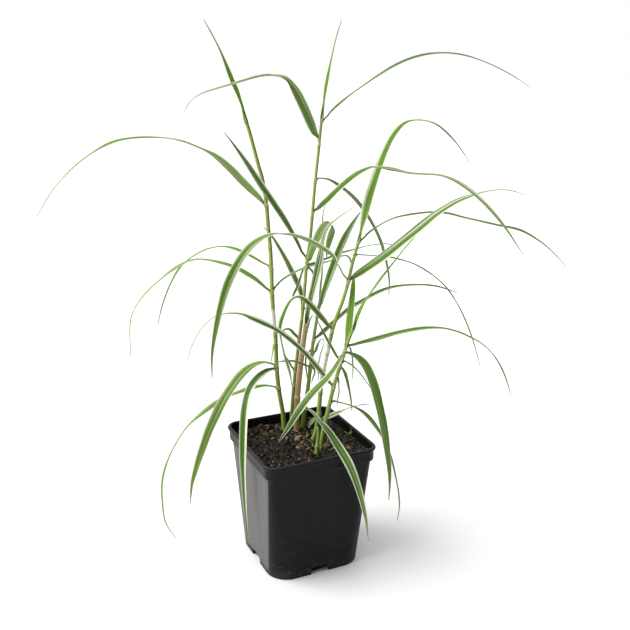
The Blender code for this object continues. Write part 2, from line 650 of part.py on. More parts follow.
def smooth_mixed(values, share):
    """As mixed, along a smooth curve through the values."""
    place = min(max(share, 0.0), 1.0) * (len(values) - 1)
    index = min(int(place), len(values) - 2)
    before = values[max(index - 1, 0)]
    first, second = values[index], values[index + 1]
    after = values[min(index + 2, len(values) - 1)]
    t = place - index
    return (
        first
        + (second - before) * (0.5 * t)
        + (before * 2 - first * 5 + second * 4 - after) * (0.5 * t * t)
        + (first * 3 - before - second * 3 + after) * (0.5 * t * t * t)
    )


def shares_along(points):
    """How far along its length each point of a line lies, from 0 to 1."""
    lengths = [0.0]
    for start, end in zip(points, points[1:]):
        lengths.append(lengths[-1] + (end - start).length)
    return [length / lengths[-1] for length in lengths], lengths[-1]


def refined(points, steps=8):
    """A smooth line through the points, with this many steps between each two."""
    count = (len(points) - 1) * steps
    return [smooth_mixed(points, step / count) for step in range(count + 1)]


def at_share(line, shares, share):
    """The point of a line at a share of its length."""
    for index in range(len(line) - 1):
        if share <= shares[index + 1]:
            span = shares[index + 1] - shares[index]
            return line[index].lerp(line[index + 1], (share - shares[index]) / max(span, 1e-9))
    return line[-1].copy()


def culm_line(culm):
    """The culm's middle line in space, from the soil to its top."""
    points = [
        placed(x, y, smooth_mixed(culm.depths, share) * MM)
        for (x, y), share in zip(culm.route, route_shares(culm.route))
    ]
    return refined(points)


def culm_radius(culm, share):
    """The culm's radius, in metres, at a share of its length."""
    return mixed((culm.base_diameter, culm.top_diameter), share) / 2 * MM


def culm_stations(culm):
    """(point, radius) along the culm: plain lengths, and a swelling at each node."""
    line = culm_line(culm)
    shares, length = shares_along(line)
    plain = max(2, round(length / CULM_STATION))
    marks = [(step / plain, 1.0) for step in range(plain + 1)]
    for node in culm.nodes:
        nearest = min(range(len(line)), key=lambda index: abs(seen_height(line[index]) - node))
        middle = shares[nearest]
        half = NODE_LENGTH / length
        marks = [mark for mark in marks if abs(mark[0] - middle) > NODE_REACH * half or mark[0] in (0, 1)]
        marks += [(middle - half, 1.0), (middle, NODE_SWELLING), (middle + half, 1.0)]
    marks.sort()
    return [
        (at_share(line, shares, share), culm_radius(culm, share) * swell) for share, swell in marks
    ]


def culm_at(name, y):
    """(point, direction, radius) of a culm where the view shows it at this height."""
    line = culm_line(CULMS[name])
    shares, _ = shares_along(line)
    index = min(range(len(line)), key=lambda place: abs(seen_height(line[place]) - y))
    ahead = line[min(index + 1, len(line) - 1)]
    behind = line[max(index - 1, 0)]
    return line[index], (ahead - behind).normalized(), culm_radius(CULMS[name], shares[index])


def blade_share_width(share):
    """How wide a blade is, as a share of its full width, from its foot to its point."""
    rise = min(1.0, share / BLADE_OPEN_SHARE)
    opening = BLADE_FOOT + (1 - BLADE_FOOT) * math.sin(rise * math.pi / 2)
    taper = max(0.0, (share - BLADE_TAPER_SHARE) / (1 - BLADE_TAPER_SHARE))
    closing = 1 - taper**BLADE_TAPER_POWER
    return opening * max(closing, 0.0)


def route_shares(route):
    """How far along its length in the view each point of a route lies."""
    return shares_along([Vector((place[0], place[1])) for place in route])[0]


def blade_foot(blade):
    """Where a blade starts: on its culm's end, or against its culm's side."""
    x, y, _ = blade.route[0]
    point, direction, radius = culm_at(blade.culm, y)
    if blade.on_top:
        return culm_line(CULMS[blade.culm])[-1] + direction * GAP
    depth = point.dot(VIEW_TOWARDS)
    next_depth = smooth_mixed((depth / MM, *blade.depths), route_shares(blade.route)[1])
    outward = placed(*blade.route[1][:2], next_depth * MM) - point
    outward -= direction * outward.dot(direction)
    stand_off = radius * NODE_SWELLING + GAP + BLADE_THICKNESS
    along = direction * (placed(x, y, depth) - point).dot(direction)
    return point + along + outward.normalized() * stand_off


def blade_line(blade):
    """(points, shown widths) of the blade's middle line, in metres."""
    foot = blade_foot(blade)
    depths = (foot.dot(VIEW_TOWARDS) / MM, *blade.depths)
    shares = route_shares(blade.route)
    points = [foot] + [
        placed(x, y, smooth_mixed(depths, share) * MM)
        for (x, y, _), share in zip(blade.route[1:], shares[1:])
    ]
    shown = [width * pixel_size(point) for (_, _, width), point in zip(blade.route, points)]
    return points, shown


def blade_sections(blade):
    """Rings of four points, foot to point: left edge, upper ridge, right edge and keel.

    A blade that looks narrower than it is has turned its upper side upwards.
    """
    points, shown = blade_line(blade)
    rightwards = blade.route[-1][0] > blade.route[0][0]
    line = refined(points)
    widths = refined([Vector((width, 0)) for width in shown])
    shares, length = shares_along(line)
    count = max(BLADE_FEWEST_STEPS, round(length / BLADE_STATION))
    rings = []
    for step in range(count + 1):
        share = step / count
        point = at_share(line, shares, share)
        ahead = at_share(line, shares, min(share + 0.5 / count, 1))
        behind = at_share(line, shares, max(share - 0.5 / count, 0))
        along = (ahead - behind).normalized()
        to_viewer = (VIEWER - point).normalized()
        across = along.cross(to_viewer).normalized()
        facing = across.cross(along)
        seen = at_share(widths, shares, share).x
        full = max(blade.width * MM * blade_share_width(share), abs(seen), BLADE_NARROWEST)
        turn = math.acos(max(-1.0, min(1.0, seen / full))) * (1 if rightwards else -1)
        side = across * math.cos(turn) + facing * math.sin(turn)
        up = facing * math.cos(turn) - across * math.sin(turn)
        thickness = min(BLADE_THICKNESS, BLADE_THIN_SHARE * full + BLADE_THINNEST)
        sag = up * (-BLADE_KEEL * full / 2)
        rings.append(
            (
                point - side * (full / 2),
                point + sag + up * (thickness / 2),
                point + side * (full / 2),
                point + sag - up * (thickness / 2),
            )
        )
    return rings


def rounded_square(width, corner, height, side_steps=1):
    """The points of a square with round corners, at a height, from corner to corner."""
    ring = []
    inner = width / 2 - corner
    for quarter in range(4):
        start = quarter * math.pi / 2
        spin = Matrix.Rotation(start, 3, "Z")
        middle = spin @ Vector((inner, inner, height))
        for step in range(CORNER_STEPS + 1):
            angle = start + step / CORNER_STEPS * math.pi / 2
            ring.append(middle + Vector((math.cos(angle), math.sin(angle), 0)) * corner)
        for step in range(1, side_steps):
            along = inner - 2 * inner * step / side_steps
            ring.append(spin @ Vector((along, width / 2, height)))
    return ring


def lofted(mesh_name, rings):
    """A closed mesh through rings that have the same number of points."""
    shape = bmesh.new()
    loops = [[shape.verts.new(point) for point in ring] for ring in rings]
    count = len(loops[0])
    for lower, upper in zip(loops, loops[1:]):
        for index in range(count):
            after = (index + 1) % count
            shape.faces.new((lower[index], lower[after], upper[after], upper[index]))
    shape.faces.new(loops[0][::-1])
    shape.faces.new(loops[-1])
    bmesh.ops.triangulate(shape, faces=shape.faces)
    bmesh.ops.recalc_face_normals(shape, faces=shape.faces)
    mesh = bpy.data.meshes.new(mesh_name)
    shape.to_mesh(mesh)
    shape.free()
    return mesh


def material(name, colour, roughness):
    made = bpy.data.materials.get(name)
    if made is None:
        made = bpy.data.materials.new(name)
        made.use_nodes = True
        surface = made.node_tree.nodes["Principled BSDF"]
        surface.inputs["Base Color"].default_value = (*colour, 1)
        surface.inputs["Roughness"].default_value = roughness
        surface.inputs["Metallic"].default_value = 0.0
    return made


def added(name, mesh, collection, finish=None):
    """A new object with this mesh, in a collection."""
    made = bpy.data.objects.new(name, mesh)
    if finish:
        mesh.materials.append(finish)
    collection.objects.link(made)
    return made


def cutter(name, mesh, cutters):
    """A shape that only cuts others."""
    made = added(name, mesh, cutters)
    made.hide_render = True
    made.display_type = "WIRE"
    return made


def joined(target, other, operation):
    """Adds a Boolean with another object to a target."""
    change = target.modifiers.new(f"{operation.lower()} {other.name}", "BOOLEAN")
    change.operation = operation
    change.solver = "EXACT"
    change.object = other


def pot_profile():
    """(width, corner, height) of the outside, from the feet up to the lip."""
    shoulder = POT_HEIGHT - BAND_HEIGHT - BAND_SLOPE
    shoulder_corner = RIM_CORNER - (RIM_WIDTH - SHOULDER_WIDTH) / 2
    band_corner = RIM_CORNER - (RIM_WIDTH - BAND_WIDTH) / 2
    lip_bottom = POT_HEIGHT - LIP_HEIGHT
    return (
        (BASE_WIDTH, BASE_CORNER, 0),
        (SHOULDER_WIDTH, shoulder_corner, shoulder),
        (BAND_WIDTH, band_corner, POT_HEIGHT - BAND_HEIGHT),
        (BAND_WIDTH, band_corner, lip_bottom),
        (RIM_WIDTH, RIM_CORNER, lip_bottom + LIP_ROUNDING),
        (RIM_WIDTH, RIM_CORNER, POT_HEIGHT - LIP_ROUNDING),
        (RIM_WIDTH - 2 * LIP_ROUNDING, RIM_CORNER - LIP_ROUNDING, POT_HEIGHT),
    )


def inner_rings(bottom, top, clearance=0.0, side_steps=1):
    """Rings just inside the wall from a bottom to a top height, with a step behind the band."""
    foot, shoulder, band = pot_profile()[:3]
    rings = []
    for height in (bottom, shoulder[2], band[2], top):
        share = min(height / shoulder[2], 1.0)
        width, corner = band[:2]
        if height <= shoulder[2]:
            width = mixed((foot[0], shoulder[0]), share)
            corner = mixed((foot[1], shoulder[1]), share)
        if height in (shoulder[2], band[2]):
            height += INNER_STEP_RISE + clearance
        inset = WALL + clearance
        rings.append(rounded_square(width - 2 * inset, corner - inset, height, side_steps))
    return rings


def build_pot(parts, cutters):
    rings = [rounded_square(*section) for section in pot_profile()]
    pot = added("pot", lofted("pot", rings), parts, material("black plastic", POT_BLACK, 0.4))

    floor_top = FLOOR_LIFT + FLOOR_THICKNESS
    above = POT_HEIGHT + CUT_BEYOND
    cavity = lofted("pot cavity", inner_rings(floor_top, above))
    joined(pot, cutter("pot_cavity", cavity, cutters), "DIFFERENCE")
    inset = WALL * 2
    recess = lofted("foot recess", [
        rounded_square(BASE_WIDTH - inset, BASE_CORNER - WALL, height)
        for height in (-CUT_BEYOND, FLOOR_LIFT)
    ])
    joined(pot, cutter("foot_recess", recess, cutters), "DIFFERENCE")

    for side in range(2):
        notch = bmesh.new()
        bmesh.ops.create_cube(notch, size=1)
        bmesh.ops.scale(notch, vec=(NOTCH_WIDTH, 2 * BASE_WIDTH, 2 * NOTCH_HEIGHT), verts=notch.verts)
        for vertex in notch.verts:
            if vertex.co.z < 0:
                vertex.co.x += math.copysign(NOTCH_FLARE, vertex.co.x)
        bmesh.ops.rotate(notch, matrix=Matrix.Rotation(side * math.pi / 2, 3, "Z"), verts=notch.verts)
        mesh = bpy.data.meshes.new("foot notch")
        notch.to_mesh(mesh)
        notch.free()
        joined(pot, cutter(f"foot_notch_{side}", mesh, cutters), "DIFFERENCE")

    for index in range(4):
        angle = math.pi / 4 + index * math.pi / 2
        hole = bmesh.new()
        place = Vector((math.cos(angle), math.sin(angle), 0)) * DRAIN_RING
        place.z = FLOOR_LIFT
        bmesh.ops.create_cone(
            hole,
            cap_ends=True,
            segments=ROUND_CUT_SIDES,
            radius1=DRAIN_RADIUS,
            radius2=DRAIN_RADIUS,
            depth=2 * (FLOOR_THICKNESS + CUT_BEYOND),
            matrix=Matrix.Translation(place),
        )
        mesh = bpy.data.meshes.new("drain hole")
        hole.to_mesh(mesh)
        hole.free()
        joined(pot, cutter(f"drain_hole_{index}", mesh, cutters), "DIFFERENCE")


def soil_top(x, y):
    """The height of the soil's surface, lumpy and banked up towards the wall."""
    place = Vector((x, y, 0)) / SOIL_LUMP_SIZE
    lump = SOIL_LUMP * (noise.noise(place) + noise.noise(place * SOIL_FINER) * SOIL_LOWER)
    half = BAND_WIDTH / 2
    bank = SOIL_BANK * (max(abs(x), abs(y)) / half) ** 3
    corner_bank = SOIL_CORNER_BANK * max(0.0, (x - y) / (2 * half)) ** 4
    return SOIL_HEIGHT + lump + bank + corner_bank


def build_soil(parts, cutters):
    """A block that fills the pot, with a lumpy top and a pocket for every culm."""
    bottom = FLOOR_LIFT + FLOOR_THICKNESS + GAP
    rings = inner_rings(bottom, SOIL_HEIGHT, GAP, SOIL_SIDE_STEPS)
    edge = rings.pop()
    for step in range(SOIL_RINGS):
        share = 1 - step / SOIL_RINGS
        ring = []
        for point in edge:
            x, y = point.x * share, point.y * share
            ring.append(Vector((x, y, soil_top(x, y))))
        rings.append(ring)
    soil = added("soil", lofted("soil", rings), parts, material("soil", SOIL_BROWN, 0.95))

    for name, culm in CULMS.items():
        foot = culm_line(culm)[0]
        pocket = bmesh.new()
        radius = culm_radius(culm, 0) + GAP
        depth = ROOT_DEPTH + SOIL_LUMP + CUT_BEYOND
        middle = Vector((foot.x, foot.y, SOIL_HEIGHT - ROOT_DEPTH + depth / 2))
        bmesh.ops.create_cone(
            pocket,
            cap_ends=True,
            segments=ROUND_CUT_SIDES,
            radius1=radius,
            radius2=radius,
            depth=depth,
            matrix=Matrix.Translation(middle),
        )
        mesh = bpy.data.meshes.new(f"{name} pocket")
        pocket.to_mesh(mesh)
        pocket.free()
        joined(soil, cutter(f"pocket_{name}", mesh, cutters), "DIFFERENCE")


def build_culm(name, culm, parts):
    """A tube along the culm, swollen at its nodes, that starts upright below the soil."""
    stations = culm_stations(culm)
    foot, radius = stations[0]
    clear = Vector((foot.x, foot.y, SOIL_HEIGHT + SOIL_LUMP))
    buried = Vector((foot.x, foot.y, SOIL_HEIGHT - CULM_BURIAL))
    stations = [(buried, radius), (clear, radius)] + [
        station for station in stations if station[0].z > clear.z + NODE_LENGTH
    ]

    curve = bpy.data.curves.new(name, "CURVE")
    curve.dimensions = "3D"
    curve.bevel_depth = 1.0
    curve.bevel_resolution = 2
    curve.use_fill_caps = True
    spline = curve.splines.new("POLY")
    spline.points.add(len(stations) - 1)
    for point, (place, size) in zip(spline.points, stations):
        point.co = (*place, 1)
        point.radius = size
    curve.materials.append(material(f"{name} green", culm.colour, 0.5))
    parts.objects.link(bpy.data.objects.new(name, curve))


def build_blade(name, blade, parts):
    colour = SPEAR_GREEN if name.startswith("spear") else BLADE_GREEN
    mesh = lofted(name, blade_sections(blade))
    added(name, mesh, parts, material("spear" if colour is SPEAR_GREEN else "blade", colour, 0.45))


def main():
    for old in list(bpy.data.objects):
        bpy.data.objects.remove(old)
    parts = bpy.data.collections.new("potted ribbon grass")
    cutters = bpy.data.collections.new("cutters")
    bpy.context.scene.collection.children.link(parts)
    bpy.context.scene.collection.children.link(cutters)

    build_pot(parts, cutters)
    build_soil(parts, cutters)
    for name, culm in CULMS.items():
        build_culm(name, culm, parts)
    for name, blade in BLADES.items():
        build_blade(name, blade, parts)


main()
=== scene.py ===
"""Looks of a potted ribbon grass: a square plastic nursery pot, damp soil and a variegated plant."""

import math
import random
from typing import NamedTuple

import bmesh
import bpy
from bpy.props import FloatProperty, FloatVectorProperty, IntProperty, PointerProperty
from mathutils import Matrix, Vector, noise


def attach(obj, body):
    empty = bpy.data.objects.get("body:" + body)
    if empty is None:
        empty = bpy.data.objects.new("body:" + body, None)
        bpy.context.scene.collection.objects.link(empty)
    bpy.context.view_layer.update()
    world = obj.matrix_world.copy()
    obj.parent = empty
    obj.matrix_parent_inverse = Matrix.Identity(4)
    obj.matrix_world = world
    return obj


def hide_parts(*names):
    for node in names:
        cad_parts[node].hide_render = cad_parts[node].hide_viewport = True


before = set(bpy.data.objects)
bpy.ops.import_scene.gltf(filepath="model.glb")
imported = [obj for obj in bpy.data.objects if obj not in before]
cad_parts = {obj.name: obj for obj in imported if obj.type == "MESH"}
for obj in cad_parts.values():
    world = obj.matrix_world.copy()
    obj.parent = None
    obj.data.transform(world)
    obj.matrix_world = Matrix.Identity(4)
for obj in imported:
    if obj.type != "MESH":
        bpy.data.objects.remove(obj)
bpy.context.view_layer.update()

bl_info = {
    "name": "Potted ribbon grass",
    "version": (1, 0, 0),
    "blender": (4, 5, 0),
    "location": "3D View > Sidebar > Ribbon grass",
    "description": "Dresses a potted ribbon grass: pot, soil, culms, leaves and spears",
    "category": "Object",
}

MM = 0.001

# Pot: outer widths of a rounded square, and heights
POT_HEIGHT = 120 * MM
RIM_WIDTH = 110 * MM
BAND_WIDTH = 106.5 * MM
SHOULDER_WIDTH = 101 * MM
BASE_WIDTH = 90 * MM
RIM_CORNER = 12.5 * MM
BASE_CORNER = 20 * MM
LIP_HEIGHT = 3.4 * MM
BAND_HEIGHT = 12.5 * MM
BAND_SLOPE = 1.8 * MM
SHOULDER_HEIGHT = POT_HEIGHT - BAND_HEIGHT - BAND_SLOPE
WALL = 1.4 * MM
INNER_STEP_RISE = 1 * MM
FLOOR_LIFT = 7.5 * MM
FLOOR_THICKNESS = 1.6 * MM
NOTCH_WIDTH = 16 * MM
NOTCH_HEIGHT = 7 * MM
NOTCH_FLARE = 2 * MM
DRAIN_RADIUS = 4 * MM
DRAIN_RING = 26 * MM
SOIL_HEIGHT = 109 * MM
SOIL_BANK = 4 * MM
SOIL_CORNER_BANK = 4 * MM
SOIL_LUMP_SIZE = 15 * MM
SOIL_FINER = 2.7
SOIL_LOWER = 0.375

# The view that the plant is laid out in, as the part's source has it. Places are (x, y) in its
# pixels, and depths are millimetres in front of the upright plane through the pot's middle.
VIEW_SIZE = 630
VIEW_LENS = 50
VIEW_SENSOR = 36
VIEW_FOCAL = VIEW_LENS / VIEW_SENSOR * VIEW_SIZE
VIEW_AZIMUTH = math.radians(-25.3)
VIEW_ELEVATION = math.radians(17.3)
VIEW_ROLL = math.radians(0.41)
VIEW_DISTANCE = 0.778
VIEW_AIM_ASIDE = 13.1 * MM
VIEW_AIM_HEIGHT = 236.7 * MM

VIEW_ASIDE = Vector((math.cos(VIEW_AZIMUTH), math.sin(VIEW_AZIMUTH), 0))
VIEW_TOWARDS = Vector((math.sin(VIEW_AZIMUTH), -math.cos(VIEW_AZIMUTH), 0))
VIEW_BACK = VIEW_TOWARDS * math.cos(VIEW_ELEVATION) + Vector((0, 0, math.sin(VIEW_ELEVATION)))
VIEW_LEVEL_UP = VIEW_BACK.cross(VIEW_ASIDE)
VIEW_RIGHT = VIEW_ASIDE * math.cos(VIEW_ROLL) + VIEW_LEVEL_UP * math.sin(VIEW_ROLL)
VIEW_UP = VIEW_LEVEL_UP * math.cos(VIEW_ROLL) - VIEW_ASIDE * math.sin(VIEW_ROLL)
VIEWER = (
    Vector((0, 0, VIEW_AIM_HEIGHT)) + VIEW_ASIDE * VIEW_AIM_ASIDE + VIEW_BACK * VIEW_DISTANCE
)

# Blades and culms, as the part's source has them
GAP = 0.3 * MM
BLADE_THICKNESS = 0.8 * MM
BLADE_KEEL = 0.22
BLADE_REACH = 13 * MM
BLADE_FOOT = 0.35
BLADE_OPEN_SHARE = 0.16
BLADE_TAPER_SHARE = 0.3
BLADE_TAPER_POWER = 1.8
NODE_SWELLING = 1.2


class Culm(NamedTuple):
    """A stem: its diameters, its depths from soil to top, its route and the heights of its nodes."""

    slot: str
    base_diameter: float
    top_diameter: float
    depths: tuple
    route: tuple
    nodes: tuple


class Blade(NamedTuple):
    """A leaf or spear: its width, its depths past its foot and its route of (x, y, width shown).

    A width is negative where the underside shows.
    """

    culm: str
    width: float
    depths: tuple
    route: tuple
    on_top: bool = False


CULMS = {
    "culm_left": Culm(
        "culm_green", 4.4, 3.2, (-34, -34, -32, -30, -24),
        (
            (284, 429), (283, 414), (279.5, 394), (277.6, 379), (276.4, 362), (275.3, 336),
            (273.5, 316), (272, 292), (271.2, 266), (270, 246), (268, 225), (266.2, 203),
            (262.6, 180), (258.6, 166), (254.6, 151), (250, 134), (246, 121),
        ),
        (389, 367, 333, 294, 268, 246, 206),
    ),
    "culm_tall": Culm(
        "culm_green", 3.6, 2.4, (-42, -38, -22, -6, 5),
        (
            (291, 428), (292.3, 404), (294.5, 379), (297.5, 353), (300, 333), (303.2, 306),
            (305, 284), (307, 260), (310, 240), (312.2, 216), (314, 195), (316.3, 171),
            (318.6, 150), (320.5, 130), (321.8, 118),
        ),
        (386, 319, 265, 215, 180, 144),
    ),
    "culm_brown": Culm(
        "culm_brown", 6.0, 4.4, (-34, -33, -30),
        ((296.5, 430), (297, 404), (299.3, 378), (302.5, 350), (306.2, 323)),
        (398,),
    ),
    "culm_back": Culm(
        "culm_green", 4.6, 2.6, (-38, -36, -32),
        (
            (302.5, 429), (304.8, 409), (307.8, 389), (310.3, 368),
            (312.6, 346), (315.6, 326), (318.8, 308),
        ),
        (367, 342),
    ),
    "culm_middle": Culm(
        "culm_pale", 4.6, 2.6, (-13, -13, -6, 0, 5),
        (
            (313.6, 442), (318, 420), (320.3, 394), (323, 374), (327.6, 352), (332, 332),
            (337, 316), (343, 300), (348, 283), (352.5, 263), (358.4, 242),
        ),
        (414, 391, 352, 331, 282),
    ),
    "culm_right": Culm(
        "culm_green", 4.4, 3.0, (3, 6, 11, 15),
        (
            (321, 446), (324, 428), (328, 411), (332.3, 392), (337.5, 374), (342, 360),
            (345.5, 348), (349.6, 337), (353, 329),
        ),
        (388, 366, 351),
    ),
    "shoot_pale": Culm(
        "culm_pale", 4.2, 2.2, (15, 14, 12),
        ((317, 452), (317.6, 443), (318.3, 434), (317.6, 427)),
        (445,),
    ),
}

